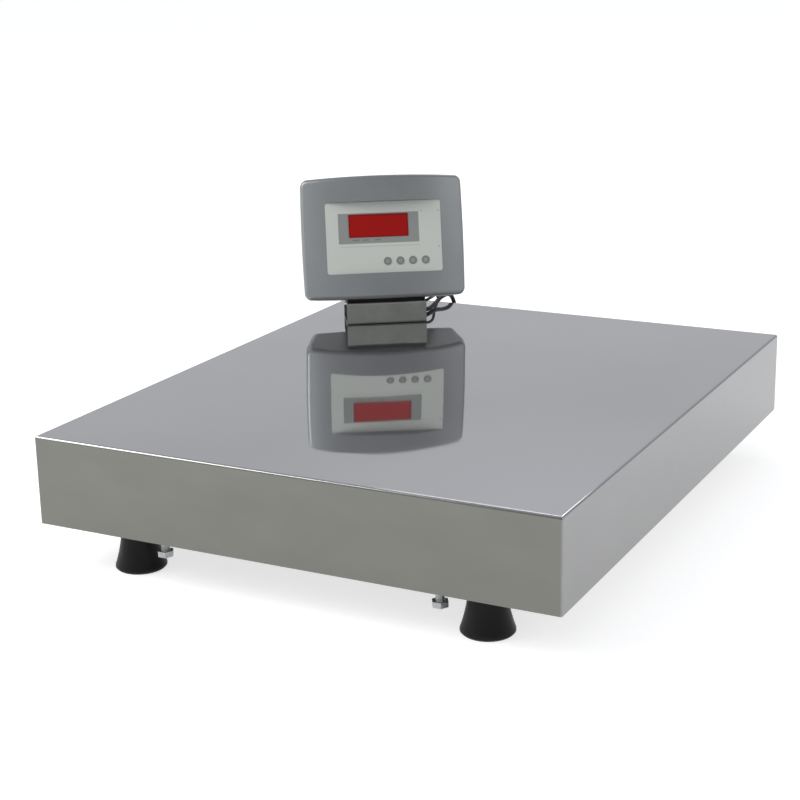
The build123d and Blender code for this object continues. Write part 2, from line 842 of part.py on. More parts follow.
with BuildPart() as board_screws:
    with BuildSketch(face.offset(-board_depth - board_thickness)):
        with Locations(*board_boss_points):
            Circle(screw_radius)
    extrude(amount=board_thickness + board_depth + seat_back - 2)
    with BuildSketch(face.offset(-board_depth - board_thickness)):
        with Locations(*board_boss_points):
            Circle(screw_head_radius)
    extrude(amount=-board_screw_head)
board_screws.part.label = "board_screws"
export_step(board_screws.part, "parts/board_screws.step")

# Keys: a domed cap in the panel, with a stem that reaches a switch on the board
button_height = board_depth - switch_height - key_travel - key_gap
stem_end = -board_depth + switch_height + 2 * key_travel
for name, point in zip(("power", "zero", "tare", "print"), key_points, strict=True):
    with BuildPart() as key:
        with BuildSketch(face.offset(key_proud - key_thickness)):
            with Locations(point):
                Circle(key_radius)
        extrude(amount=key_thickness)
        rim = key.faces().sort_by(lambda f: (f.center() - face.origin).dot(toward))[-1].edges()
        fillet(rim, key_proud)
        with BuildSketch(face.offset(stem_end + key_gap)):
            with Locations(point):
                Circle(key_stem_radius)
        extrude(amount=-stem_end - key_gap + key_proud - key_thickness)
    key.part.label = f"key_{name}"
    export_step(key.part, f"parts/key_{name}.step")

with BuildPart() as key_switches:
    with BuildSketch(face.offset(-board_depth)):
        with Locations(*key_points):
            Rectangle(switch_size, switch_size)
    extrude(amount=switch_height)
    with BuildSketch(face.offset(-board_depth + switch_height)):
        with Locations(*key_points):
            Circle(switch_button_radius)
    extrude(amount=key_travel)
key_switches.part.label = "key_switches"
export_step(key_switches.part, "parts/key_switches.step")

# Stand: one strip folded into a low channel, open at its back and both ends
flange_face = pad_face + washer_thickness
flange_start = face.origin + face.y_dir * -flange_face


# Height of the stand's sloping top over the platter, at a distance behind its front
def flange_height(distance):
    drop = (distance - (flange_start - stand_origin).dot(behind)) * tan(tilt)
    return flange_start.Z - platter_top - drop


with BuildPart() as stand_bracket:
    with BuildSketch(stand_side):
        with BuildLine():
            FilletPolyline(
                (stand_foot_depth, 0),
                (0, 0),
                (0, flange_height(0)),
                (stand_top_depth, flange_height(stand_top_depth)),
                radius=stand_bend,
            )
            offset(amount=stand_sheet, side=Side.RIGHT)
        make_face()
    extrude(amount=stand_width / 2, both=True)
    with BuildSketch(under.offset(flange_face - stand_sheet)):
        with Locations(((cell_grommet_x + power_grommet_x) / 2, -grommet_depth)):
            RectangleRounded(cable_window_length, cable_window_width, cable_window_width / 3)
        with Locations(*pad_boss_points):
            Circle(m4_radius + fastener_gap)
    extrude(amount=2 * stand_sheet, both=True, mode=Mode.SUBTRACT)
stand_bracket.part.label = "stand_bracket"
export_step(stand_bracket.part, "parts/stand_bracket.step")

with BuildPart() as stand_washers:
    with BuildSketch(under.offset(pad_face)):
        with Locations(*pad_boss_points):
            Circle(washer_radius)
            Circle(m4_radius + fastener_gap, mode=Mode.SUBTRACT)
    extrude(amount=washer_thickness)
stand_washers.part.label = "stand_washers"
export_step(stand_washers.part, "parts/stand_washers.step")

with BuildPart() as stand_screws:
    with BuildSketch(under.offset(flange_face + stand_sheet)):
        with Locations(*pad_boss_points):
            Circle(m4_head_radius)
    extrude(amount=m4_head_height)
    with BuildSketch(under.offset(flange_face + stand_sheet)):
        with Locations(*pad_boss_points):
            Circle(m4_radius)
    extrude(amount=-(m4_reach - 1))
stand_screws.part.label = "stand_screws"
export_step(stand_screws.part, "parts/stand_screws.step")

# Rubber grommets that the two cables are moulded into, in the housing's underside
grommet_seat = under_skin + fastener_gap
grommet_outer = grommet_seat + grommet_flange
with BuildPart() as cable_grommets:
    for which, point in grommet_points.items():
        with BuildSketch(under.offset(housing_height / 2 - 2 * housing_wall)):
            with Locations(point):
                Circle(grommet_bore[which] + clip_wall)
        extrude(amount=2 * housing_wall + edge_bow + fastener_gap)
        with BuildSketch(under.offset(grommet_seat)):
            with Locations(point):
                Circle(grommet_bore[which] + 2.5 * clip_wall)
        extrude(amount=grommet_flange)
        with BuildSketch(under.offset(grommet_outer)):
            with Locations(point):
                Circle(grommet_bore[which] + clip_wall)
        extrude(amount=grommet_nose, taper=8)
cable_grommets.part.label = "cable_grommets"
export_step(cable_grommets.part, "parts/cable_grommets.step")


# Point straight out of a grommet's nose, at a distance from its tip
def out_of(which, distance):
    x, y = grommet_points[which]
    return tuple(under.offset(grommet_outer + grommet_nose + distance).from_local_coords((x, y, 0)))


# Point over the platter that is given across the stand, behind its front and over the platter
def near_stand(side, back, height):
    return tuple(stand_origin + across * side + behind * back + Vector(0, 0, height))


# Point given from the platter's back left corner, along X, along Y and from the floor
def from_corner(right, back, height):
    return (right - half_width, back + half_depth, height)


# Point that continues the run from one point to the next by a length
def beyond(start, end, length):
    run = Vector(*end) - Vector(*start)
    return tuple(Vector(*end) + run.normalized() * length)


# Bend radius at each corner of a cable's route: 0.45 of the shorter run there
def bend_radii(route):
    points = [Vector(*p) for p in route]
    radii = []
    for a, b, c in zip(points, points[1:], points[2:]):
        turn = radians((b - a).get_angle(c - b))
        radii.append(0.45 * min((b - a).length, (c - b).length) / tan(turn / 2))
    return radii


# Cable along a route of straight runs joined by tangent arcs
def cable(name, route, diameter):
    radii = bend_radii(route)
    with BuildPart() as tube:
        with BuildLine():
            path = FilletPolyline(*route, radius=radii)
        with BuildSketch(Plane(origin=path @ 0, z_dir=path % 0)):
            Circle(diameter / 2)
        sweep(path=path)
    expected = pi * diameter**2 / 4 * path.length
    print(name, "length", round(path.length, 1), "radii", [round(r, 1) for r in radii])
    print(name, "volume over section times length", round(tube.part.volume / expected, 4))
    return tube.part


# The cell's cable comes down behind the bracket's front, lies on the platter and rises to its edge
over = platter_top
cell_crest = from_corner(114.0, 0.0, over + 7.9)
cell_rise = from_corner(112.8, -8.5, over + 7.5)
cell_top_route = [
    out_of("cell", 0),
    out_of("cell", 6.4),
    near_stand(17.6, 27.7, 4.3),
    near_stand(31.0, 34.0, 4.4),
    near_stand(42.0, 40.0, 4.2),
    from_corner(117.1, -49.5, over + 2.8),
    from_corner(115.4, -35.5, over + 2.9),
    from_corner(113.3, -21.0, over + 4.6),
    cell_rise,
    cell_crest,
]
cell_cable_top = cable("cell_cable_top", cell_top_route, cell_cable_diameter)
cell_cable_top.label = "cell_cable_top"
export_step(cell_cable_top, "parts/cell_cable_top.step")

# Its next stretch hangs down behind the skirt and turns into the coil on the floor
cell_drop_route = [
    cell_crest,
    beyond(cell_rise, cell_crest, 7.5),
    from_corner(116.6, 15.4, over + 0.6),
    from_corner(118.2, 18.4, 108.0),
    from_corner(119.0, 18.6, 88.0),
    from_corner(118.8, 17.8, 66.0),
    from_corner(118.4, 19.0, 47.0),
    from_corner(117.7, 23.0, 31.0),
    from_corner(117.1, 31.0, 18.2),
    from_corner(117.0, 42.7, 12.2),
]
cell_cable_drop = cable("cell_cable_drop", cell_drop_route, cell_cable_diameter)
cell_cable_drop.label = "cell_cable_drop"
export_step(cell_cable_drop, "parts/cell_cable_drop.step")


# Ring that a wound coil of cable fills
def coil_ring(x, y, radius, bundle):
    with BuildPart() as ring:
        with BuildSketch(Plane.XY):
            with Locations((x, y)):
                Circle(radius + bundle / 2)
                Circle(radius - bundle / 2, mode=Mode.SUBTRACT)
        extrude(amount=bundle)
        fillet(ring.edges(), coil_edge)
    return ring.part


cell_cable_coil = coil_ring(cell_coil_x, cell_coil_y, cell_coil_radius, cell_coil_bundle)
cell_cable_coil.label = "cell_cable_coil"
export_step(cell_cable_coil, "parts/cell_cable_coil.step")

# Stretch from the clip on the rear beam, under the skirt, to the coil
clip_height = lower_tube_bottom - cell_cable_diameter / 2 - clip_gap
clip_point = from_corner(204.0, -beam_inset - 8.0, clip_height)
lead_end = (clip_point[0], clip_point[1] + 8.0, clip_height)
cell_tail_route = [
    lead_end,
    (clip_point[0], clip_point[1] + 16.5, clip_height),
    from_corner(202.0, -13.0, 43.0),
    from_corner(197.6, -1.5, 32.6),
    from_corner(191.5, 10.5, 21.0),
    from_corner(185.4, 22.5, 10.6),
    from_corner(180.2, 35.0, 4.4),
    from_corner(176.8, 48.5, 2.6),
]
cell_cable_tail = cable("cell_cable_tail", cell_tail_route, cell_cable_diameter)
cell_cable_tail.label = "cell_cable_tail"
export_step(cell_cable_tail, "parts/cell_cable_tail.step")

# Stretch inside the frame, from the cell's lip along the spine to the rear beam
side_clip_x = -spine_width / 2 - cell_cable_diameter / 2 - clip_gap
side_clip_y = beam_offset - 121.0
side_clip_z = lower_tube_bottom + lower_tube_height / 2
cell_lip_end = -cell_width / 2 - cell_lip_length
cell_lead_route = [
    (cell_lip_end, cell_end, cell_middle),
    (cell_lip_end - 9.0, cell_end, cell_middle),
    (cell_lip_end - 15.0, cell_end + 8.5, cell_middle - 4.0),
    (cell_lip_end - 14.5, cell_end + 23.0, cell_middle - 11.0),
    (cell_lip_end - 9.0, cell_end + 41.0, cell_middle - 19.0),
    (cell_lip_end - 4.0, cell_end + 61.0, side_clip_z + 1.0),
    (side_clip_x, side_clip_y - 13.0, side_clip_z),
    (side_clip_x, side_clip_y + 17.0, side_clip_z),
    (side_clip_x - 2.5, side_clip_y + 44.0, side_clip_z - 2.5),
    (side_clip_x - 8.0, side_clip_y + 67.0, side_clip_z - 7.5),
    (side_clip_x - 14.5, side_clip_y + 85.0, clip_height + 1.0),
    (clip_point[0], clip_point[1] - 10.5, clip_height),
    lead_end,
]
cell_lead = cable("cell_lead", cell_lead_route, cell_cable_diameter)
cell_lead.label = "cell_lead"
export_step(cell_lead, "parts/cell_lead.step")


# Folded steel straps that hold the cable to the rear beam and to the spine's side
with BuildPart() as cable_clips:
    inner = cell_cable_diameter / 2 + clip_gap
    outer = inner + clip_wall
    for middle, up in (
        (Vector(*clip_point), Vector(0, 0, 1)),
        (Vector(side_clip_x, side_clip_y, side_clip_z), Vector(1, 0, 0)),
    ):
        along = Vector(0, 1, 0)
        with BuildSketch(Plane(origin=middle, x_dir=up.cross(along), z_dir=along)):
            Circle(outer)
            with Locations((0, inner)):
                Rectangle(2 * outer, inner, align=(Align.CENTER, Align.MAX))
                Rectangle(2 * (outer + clip_tab), clip_wall, align=(Align.CENTER, Align.MAX))
            Circle(inner, mode=Mode.SUBTRACT)
            with Locations((0, inner)):
                Rectangle(
                    2 * inner, inner, align=(Align.CENTER, Align.MAX), mode=Mode.SUBTRACT
                )
                Rectangle(
                    4 * outer, outer, align=(Align.CENTER, Align.MIN), mode=Mode.SUBTRACT
                )
        extrude(amount=clip_width / 2, both=True)
cable_clips.part.label = "cable_clips"
export_step(cable_clips.part, "parts/cable_clips.step")

# Thin lead for the power supply: over the platter, down behind it, round its coil
power_crest = from_corner(101.4, 0.0, over + 7.2)
power_rise = from_corner(104.8, -11.0, over + 8.6)
power_top_route = [
    out_of("power", 0),
    out_of("power", 6.0),
    near_stand(-2.8, 30.0, 6.0),
    near_stand(7.5, 36.5, 5.4),
    near_stand(23.0, 41.3, 6.8),
    near_stand(38.0, 43.4, 9.4),
    near_stand(49.0, 47.7, 13.2),
    from_corner(115.4, -38.5, over + 13.8),
    from_corner(110.8, -24.5, over + 11.6),
    power_rise,
    power_crest,
]
power_lead_top = cable("power_lead_top", power_top_route, power_lead_diameter)
power_lead_top.label = "power_lead_top"
export_step(power_lead_top, "parts/power_lead_top.step")

power_drop_route = [
    power_crest,
    beyond(power_rise, power_crest, 9.0),
    from_corner(97.6, 15.6, over - 3.5),
    from_corner(97.2, 17.2, 101.0),
    from_corner(97.4, 16.6, 80.0),
    from_corner(97.7, 15.2, 59.0),
    from_corner(97.9, 15.2, 40.0),
    from_corner(98.0, 18.0, 25.0),
    from_corner(98.1, 23.5, 15.0),
    from_corner(98.0, 31.4, 10.4),
]
power_lead_drop = cable("power_lead_drop", power_drop_route, power_lead_diameter)
power_lead_drop.label = "power_lead_drop"
export_step(power_lead_drop, "parts/power_lead_drop.step")

power_lead_coil = coil_ring(power_coil_x, power_coil_y, power_coil_radius, power_coil_bundle)
power_lead_coil.label = "power_lead_coil"
export_step(power_lead_coil, "parts/power_lead_coil.step")

relief_tip_x = power_coil_x - power_coil_radius - power_coil_bundle / 2
adapter_axis_y = power_coil_y + power_coil_radius
power_end_route = [
    (power_coil_x - 7.0, adapter_axis_y + 2.9, adapter_axis_height - 0.3),
    (power_coil_x - 12.5, adapter_axis_y + 1.6, adapter_axis_height - 0.1),
    (power_coil_x - 18.5, adapter_axis_y, adapter_axis_height),
    (relief_tip_x, adapter_axis_y, adapter_axis_height),
]
power_lead_end = cable("power_lead_end", power_end_route, power_lead_diameter)
power_lead_end.label = "power_lead_end"
export_step(power_lead_end, "parts/power_lead_end.step")

relief_base_x = relief_tip_x - adapter_relief_length
with BuildPart() as adapter_relief:
    with BuildSketch(
        Plane(
            origin=(relief_base_x, adapter_axis_y, adapter_axis_height),
            x_dir=(0, 1, 0),
            z_dir=(1, 0, 0),
        )
    ):
        Circle(adapter_relief_radius)
    extrude(amount=adapter_relief_length, taper=6)
adapter_relief.part.label = "adapter_relief"
export_step(adapter_relief.part, "parts/adapter_relief.step")

adapter_middle = (relief_base_x - adapter_length / 2, adapter_axis_y)
pin_points = [
    (adapter_middle[0], adapter_middle[1] + s * adapter_pin_pitch / 2) for s in (-1, 1)
]
with BuildPart() as adapter_case:
    with BuildSketch(Plane.XY):
        with Locations(adapter_middle):
            RectangleRounded(adapter_length, adapter_width, adapter_edge)
    extrude(amount=adapter_height)
    fillet(adapter_case.faces().sort_by(Axis.Z)[-1].edges(), adapter_edge / 2)
    fillet(adapter_case.faces().sort_by(Axis.Z)[0].edges(), adapter_edge / 2)
    add(
        rods(
            pin_points,
            adapter_height - adapter_pin_root,
            adapter_height,
            adapter_pin_radius + fastener_gap,
        ),
        mode=Mode.SUBTRACT,
    )
adapter_case.part.label = "adapter_case"
export_step(adapter_case.part, "parts/adapter_case.step")

with BuildPart() as adapter_pins:
    add(
        rods(
            pin_points,
            adapter_height - adapter_pin_root,
            adapter_height + adapter_pin_length,
            adapter_pin_radius,
        )
    )
    fillet(adapter_pins.faces().group_by(Axis.Z)[-1].edges(), adapter_pin_radius / 2)
adapter_pins.part.label = "adapter_pins"
export_step(adapter_pins.part, "parts/adapter_pins.step")
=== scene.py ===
import math

import bpy
from mathutils import Matrix, Vector


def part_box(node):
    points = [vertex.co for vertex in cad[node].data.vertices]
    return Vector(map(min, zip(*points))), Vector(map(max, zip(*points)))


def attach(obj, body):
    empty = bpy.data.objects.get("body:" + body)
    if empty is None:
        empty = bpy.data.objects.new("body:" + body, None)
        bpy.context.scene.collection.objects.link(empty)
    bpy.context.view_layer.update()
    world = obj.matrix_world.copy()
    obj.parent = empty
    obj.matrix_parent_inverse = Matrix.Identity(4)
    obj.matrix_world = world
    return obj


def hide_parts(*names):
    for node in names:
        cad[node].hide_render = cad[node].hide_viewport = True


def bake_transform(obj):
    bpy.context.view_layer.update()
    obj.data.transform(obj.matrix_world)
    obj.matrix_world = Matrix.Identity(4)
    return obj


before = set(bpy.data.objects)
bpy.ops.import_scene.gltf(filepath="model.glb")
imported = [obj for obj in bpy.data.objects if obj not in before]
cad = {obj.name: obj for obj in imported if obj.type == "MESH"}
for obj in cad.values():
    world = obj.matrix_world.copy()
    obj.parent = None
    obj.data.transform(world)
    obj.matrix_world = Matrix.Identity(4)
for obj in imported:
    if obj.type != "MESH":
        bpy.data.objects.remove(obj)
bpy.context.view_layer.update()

# Camera
# A long lens off the platter's right front corner, a little above the indicator's top, held a
# degree askew as in the photograph. Every place in this file is in metres from the floor under
# the platter's middle, with the front towards -Y.
camera_azimuth = math.radians(27.392)
camera_elevation = math.radians(16.584)
camera_roll = math.radians(-1.119)
camera_target = Vector((-0.00415, -0.07239, 0.1232))
camera_distance = 1.6215
back = Vector(
    (
        math.sin(camera_azimuth) * math.cos(camera_elevation),
        -math.cos(camera_azimuth) * math.cos(camera_elevation),
        math.sin(camera_elevation),
    )
)
level = Vector((0, 0, 1)).cross(back).normalized()
upright = back.cross(level)
rightward = level * math.cos(camera_roll) + upright * math.sin(camera_roll)
upward = upright * math.cos(camera_roll) - level * math.sin(camera_roll)
camera_data = bpy.data.cameras.new("camera")
camera_data.sensor_width = 36.0
camera_data.lens = 78.52
camera_data.clip_end = 200.0
camera = bpy.data.objects.new("camera", camera_data)
camera.matrix_world = (
    Matrix.Translation(camera_target + back * camera_distance)
    @ Matrix((rightward, upward, back)).transposed().to_4x4()
)
bpy.context.scene.collection.objects.link(camera)
bpy.context.scene.camera = camera
bpy.context.scene.view_settings.view_transform = "Standard"

# Feet
# Four moulded black rubber cones with a little gloss, chalky on the sole's rim, each round the
# head of a zinc-plated stud.
foot_places = ("front_left", "front_right", "rear_left", "rear_right")


def put(tree, kind, args=(), having=None, **inputs):
    """Adds a shader node, sets or links its inputs by place or by name, and returns it."""
    made = tree.nodes.new(kind)
    for key, value in (having or {}).items():
        setattr(made, key, value)
    for key, value in [*enumerate(args), *inputs.items()]:
        socket = made.inputs[key if isinstance(key, int) else key.replace("_", " ")]
        if isinstance(value, bpy.types.NodeSocket):
            tree.links.new(value, socket)
        elif value is not None:
            without_alpha = socket.type == "RGBA" and len(value) == 3
            socket.default_value = (*value, 1) if without_alpha else value
    return made


def place(tree):
    """The place on the object, in metres."""
    return put(tree, "ShaderNodeTexCoord").outputs["Object"]


def parts_of(tree, vector):
    """The X, Y and Z of a vector."""
    return put(tree, "ShaderNodeSeparateXYZ", (vector,)).outputs


def number(tree, operation, *args, clamp=False):
    having = {"operation": operation, "use_clamp": clamp}
    return put(tree, "ShaderNodeMath", args, having).outputs[0]


def span(tree, value, low, high, to_low=0.0, to_high=1.0):
    args = (value, low, high, to_low, to_high)
    return put(tree, "ShaderNodeMapRange", args, {"clamp": True}).outputs[0]


def blend_colours(tree, share, low, high):
    sockets_between = [None] * 5
    args = (share, *sockets_between, low, high)
    return put(tree, "ShaderNodeMix", args, {"data_type": "RGBA"}).outputs[2]


def bump(tree, height, distance, strength):
    made = put(tree, "ShaderNodeBump", Strength=strength, Distance=distance, Height=height)
    return made.outputs["Normal"]


def new_effect(name, inputs, outputs):
    """A shader node group with these inputs and outputs at their usual values, and its inputs."""
    group = bpy.data.node_groups.new(name, "ShaderNodeTree")
    for direction, sockets in (("INPUT", inputs), ("OUTPUT", outputs)):
        for label, usual in sockets.items():
            kind = "Float" if isinstance(usual, float) else {3: "Vector", 4: "Color"}[len(usual)]
            made = group.interface.new_socket(
                label, in_out=direction, socket_type=f"NodeSocket{kind}"
            )
            made.default_value = usual
    return group, group.nodes.new("NodeGroupInput").outputs


def effect(tree, group, **values):
    """Places a shader node group in a material, with its own values, and returns its outputs."""
    return put(tree, "ShaderNodeGroup", (), {"node_tree": group}, **values).outputs


def noise(group, given):
    return put(
        group,
        "ShaderNodeTexNoise",
        Vector=given["Place"],
        Scale=given["Scale"],
        Detail=given["Detail"],
        Roughness=given["Unevenness"],
    ).outputs[0]


# Dust, wear and bloom lie in patches of two colours and two degrees of gloss.
patches, given = new_effect(
    "patches",
    {
        "Place": (0.0, 0.0, 0.0),
        "Scale": 50.0,
        "Detail": 4.0,
        "Unevenness": 0.6,
        "Colour Low": 0.3,
        "Colour High": 0.7,
        "First Colour": (0.5, 0.5, 0.5, 1.0),
        "Second Colour": (0.5, 0.5, 0.5, 1.0),
        "First Roughness": 0.5,
        "Second Roughness": 0.5,
    },
    {"Value": 0.0, "Colour": (0.5, 0.5, 0.5, 1.0), "Roughness": 0.5},
)
value = noise(patches, given)
share = span(patches, value, given["Colour Low"], given["Colour High"])
gloss = (given["First Roughness"], given["Second Roughness"])
put(
    patches,
    "NodeGroupOutput",
    Value=value,
    Colour=blend_colours(patches, share, given["First Colour"], given["Second Colour"]),
    Roughness=span(patches, value, 0.3, 0.7, *gloss),
)

# Grain is the fine relief that a mould, a roller or a brush leaves.
fine_grain, given = new_effect(
    "fine grain",
    {
        "Place": (0.0, 0.0, 0.0),
        "Scale": 2000.0,
        "Detail": 2.0,
        "Unevenness": 0.5,
        "Depth": 0.0001,
        "Strength": 0.4,
    },
    {"Height": 0.0, "Normal": (0.0, 0.0, 0.0)},
)
relief = noise(fine_grain, given)
put(
    fine_grain,
    "NodeGroupOutput",
    Height=relief,
    Normal=bump(fine_grain, relief, given["Depth"], given["Strength"]),
)


def finish_of(name, build):
    """A material whose Principled shader gets the inputs that build(tree) returns."""
    made = bpy.data.materials.new(name)
    made.use_nodes = True
    tree = made.node_tree
    tree.nodes.clear()
    surface = put(tree, "ShaderNodeBsdfPrincipled", **build(tree))
    put(tree, "ShaderNodeOutputMaterial", Surface=surface.outputs[0])
    return made


def dress(material, *names):
    """Gives CAD nodes, by name, or pieces made here a material."""
    for name in names:
        piece = cad[name] if isinstance(name, str) else name
        piece.data.materials.clear()
        piece.data.materials.append(material)


def foot_rubber(tree):
    where = place(tree)
    dust = effect(
        tree,
        patches,
        Place=where,
        Scale=70.0,
        Detail=5.0,
        Unevenness=0.7,
        First_Roughness=0.36,
        Second_Roughness=0.5,
    )
    grain = effect(
        tree,
        fine_grain,
        Place=where,
        Scale=1800.0,
        Detail=3.0,
        Unevenness=0.6,
        Depth=0.00015,
        Strength=0.35,
    )
    near_sole = span(tree, parts_of(tree, where)["Z"], 0.0005, 0.006, 1.0, 0.0)
    chalky = number(tree, "MULTIPLY", near_sole, span(tree, dust["Value"], 0.35, 0.65))
    return {
        "Base_Color": blend_colours(tree, chalky, (0.004, 0.004, 0.004), (0.020, 0.019, 0.018)),
        "Specular_IOR_Level": 0.2,
        "Roughness": dust["Roughness"],
        "Normal": grain["Normal"],
    }


dress(finish_of("foot_rubber", foot_rubber), *[f"foot_rubber_{p}" for p in foot_places])

# Zinc-plated fasteners
# Studs, nuts, stop bolts, screws and cable clips: rolled or pressed steel with a thin, slightly
# milky zinc plating. Threads show on the studs and stop bolts.
thread_pitch = 0.00125


def zinc(tree, threaded=False):
    where = place(tree)
    bloom = effect(
        tree,
        patches,
        Place=where,
        Scale=160.0,
        Unevenness=0.65,
        First_Colour=(0.44, 0.45, 0.46),
        Second_Colour=(0.58, 0.58, 0.57),
        First_Roughness=0.28,
        Second_Roughness=0.42,
    )
    grain = effect(tree, fine_grain, Place=where, Scale=1400.0)
    height = number(tree, "MULTIPLY", grain["Height"], 0.12)
    if threaded:
        flank = number(tree, "PINGPONG", parts_of(tree, where)["Z"], thread_pitch / 2)
        height = number(tree, "ADD", height, number(tree, "MULTIPLY", flank, 1200.0))
    return {
        "Base_Color": bloom["Colour"],
        "Metallic": 1.0,
        "Roughness": bloom["Roughness"],
        "Normal": bump(tree, height, 0.0004, 0.8 if threaded else 0.3),
    }


zinc_threaded = finish_of("zinc_threaded", lambda tree: zinc(tree, threaded=True))
zinc_plain = finish_of("zinc_plain", zinc)
dress(zinc_threaded, *[f"foot_stud_{p}" for p in foot_places], "stop_bolts")
dress(
    zinc_plain,
    "foot_weld_nuts",
    "foot_jam_nuts",
    "stop_jam_nuts",
    "stop_weld_nuts",
    "cell_bolts_lower",
    "cell_bolts_upper",
    "cable_clips",
    "housing_screws",
    "stand_screws",
    "board_screws",
)


# Tube frame
# Rectangular steel tube, welded up and powder-coated grey, with the usual orange peel. Black
# plastic plugs close the open ends, and four rubber pads of the same look carry the platter.
def powder_coat(tree):
    where = place(tree)
    tone = effect(
        tree,
        patches,
        Place=where,
        Scale=9.0,
        First_Colour=(0.20, 0.205, 0.21),
        Second_Colour=(0.235, 0.24, 0.245),
        First_Roughness=0.38,
        Second_Roughness=0.46,
    )
    peel = effect(tree, fine_grain, Place=where, Scale=420.0, Depth=0.0002, Strength=0.35)
    return {
        "Base_Color": tone["Colour"],
        "Metallic": 0.15,
        "Roughness": tone["Roughness"],
        "Normal": peel["Normal"],
    }


dress(
    finish_of("powder_coat", powder_coat),
    "front_foot_beam",
    "rear_foot_beam",
    "lower_spine",
    "upper_spine",
    "upper_front_rail",
    "upper_rear_rail",
)


def moulded_cap(tree):
    where = place(tree)
    tone = effect(
        tree,
        patches,
        Place=where,
        Scale=50.0,
        First_Colour=(0.018, 0.018, 0.018),
        Second_Colour=(0.030, 0.030, 0.030),
        First_Roughness=0.44,
        Second_Roughness=0.58,
    )
    grain = effect(tree, fine_grain, Place=where, Scale=1600.0, Depth=0.0002, Strength=0.4)
    return {
        "Base_Color": tone["Colour"],
        "Roughness": tone["Roughness"],
        "Normal": grain["Normal"],
    }


dress(finish_of("moulded_cap", moulded_cap), "lower_beam_caps", "upper_rail_caps", "platter_pads")


# Load cell
# A machined and clear-anodised aluminium beam, with the fine lines of the cutter across it, held
# between two ground steel plates.
def stretched(tree, where, shares):
    """The place on the object, with each direction multiplied, so that a pattern is drawn out."""
    having = {"operation": "MULTIPLY"}
    return put(tree, "ShaderNodeVectorMath", (where, shares), having).outputs["Vector"]


def milled(tree, colour, roughness):
    where = place(tree)
    bloom = effect(
        tree,
        patches,
        Place=where,
        Scale=40.0,
        First_Colour=colour,
        Second_Colour=tuple(part * 0.9 for part in colour),
    )
    lines = effect(
        tree,
        fine_grain,
        Place=stretched(tree, where, (60.0, 2400.0, 60.0)),
        Scale=1.0,
        Depth=0.00008,
        Strength=0.4,
    )
    return {
        "Base_Color": bloom["Colour"],
        "Metallic": 1.0,
        "Roughness": span(tree, lines["Height"], 0.3, 0.7, roughness - 0.06, roughness + 0.06),
        "Normal": lines["Normal"],
    }


anodised = finish_of("anodised", lambda tree: milled(tree, (0.62, 0.63, 0.65), 0.34))
ground_steel = finish_of("ground_steel", lambda tree: milled(tree, (0.42, 0.43, 0.44), 0.30))
dress(anodised, "load_cell")
dress(ground_steel, "cell_spacer_lower", "cell_spacer_upper")

# Platter
# One sheet of cold-rolled stainless steel with a near-mirror finish, folded down on four sides.
# The sheet waves a little, and handling has left faint clouds on its skirts. The colour holds
# painted light too: painted shade makes the skirts far darker than the top, and the front one
# darker than the right one, and a painted highlight makes the top paler near its front right
# corner.
platter_low, platter_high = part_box("platter")
platter_top = 0.1232
highlight_corner = (platter_high[0], platter_low[1], platter_high[2])


def rolled_sheet(tree):
    where = place(tree)
    facing = parts_of(tree, put(tree, "ShaderNodeNewGeometry").outputs["Normal"])
    top = span(tree, facing["Z"], 0.55, 0.95)
    right = span(tree, facing["X"], 0.2, 0.9)
    waves = effect(
        tree,
        patches,
        Place=where,
        Scale=7.0,
        Detail=2.0,
        Unevenness=0.45,
        First_Colour=(0.500, 0.504, 0.512),
        Second_Colour=(0.520, 0.523, 0.530),
    )
    clouds = {
        "Place": stretched(tree, where, (14.0, 14.0, 30.0)),
        "Scale": 1.0,
        "Detail": 5.0,
        "First_Roughness": 0.0,
        "Second_Roughness": 0.03,
    }
    # Painted shade: the colour given to the side facing front, far darker than the top's. Its
    # gloss is the handling clouds, used for the whole sheet.
    shaded_front_and_clouds = effect(
        tree,
        patches,
        First_Colour=(0.178, 0.180, 0.162),
        Second_Colour=(0.196, 0.197, 0.178),
        **clouds,
    )
    # Painted light: the colour given to the side facing right, lighter than the front one but
    # still far below the top's.
    lit_right_and_clouds = effect(
        tree,
        patches,
        First_Colour=(0.268, 0.268, 0.268),
        Second_Colour=(0.292, 0.292, 0.294),
        **clouds,
    )
    # Painted shade: each side takes the darker or the lighter colour by which way it faces.
    skirt = blend_colours(tree, right, shaded_front_and_clouds["Colour"], lit_right_and_clouds["Colour"])
    # Painted highlight: the top is painted paler near its front right corner, fully within 5 cm
    # and fading out by 30 cm.
    distance = put(
        tree, "ShaderNodeVectorMath", (where, highlight_corner), {"operation": "DISTANCE"}
    ).outputs["Value"]
    sheet = blend_colours(
        tree, span(tree, distance, 0.05, 0.30), (0.62, 0.625, 0.64), waves["Colour"]
    )
    rolled = effect(
        tree, fine_grain, Place=stretched(tree, where, (1800.0, 30.0, 30.0)), Scale=1.0
    )
    height = number(tree, "ADD", waves["Value"], number(tree, "MULTIPLY", rolled["Height"], 0.004))
    polish = span(tree, top, 0.0, 1.0, 0.24, 0.02)
    return {
        # The sides get their painted-shade colour, and the top gets its own tone with the painted
        # highlight.
        "Base_Color": blend_colours(tree, top, skirt, sheet),
        "Metallic": span(tree, top, 0.0, 1.0, 1.0, 0.92),
        "Roughness": number(tree, "ADD", polish, shaded_front_and_clouds["Roughness"]),
        "Normal": bump(tree, height, 0.0006, 0.5),
    }


dress(finish_of("rolled_sheet", rolled_sheet), "platter")

# Stand
# A strip of the same stainless steel in a duller, brushed finish, folded into a low channel. The
# indicator is screwed to its sloping top.
stand_yaw = math.radians(33.2)
stand_front = Vector((-0.14945, 0.18125, platter_top))
stand_behind = Vector((-math.sin(stand_yaw), math.cos(stand_yaw), 0))


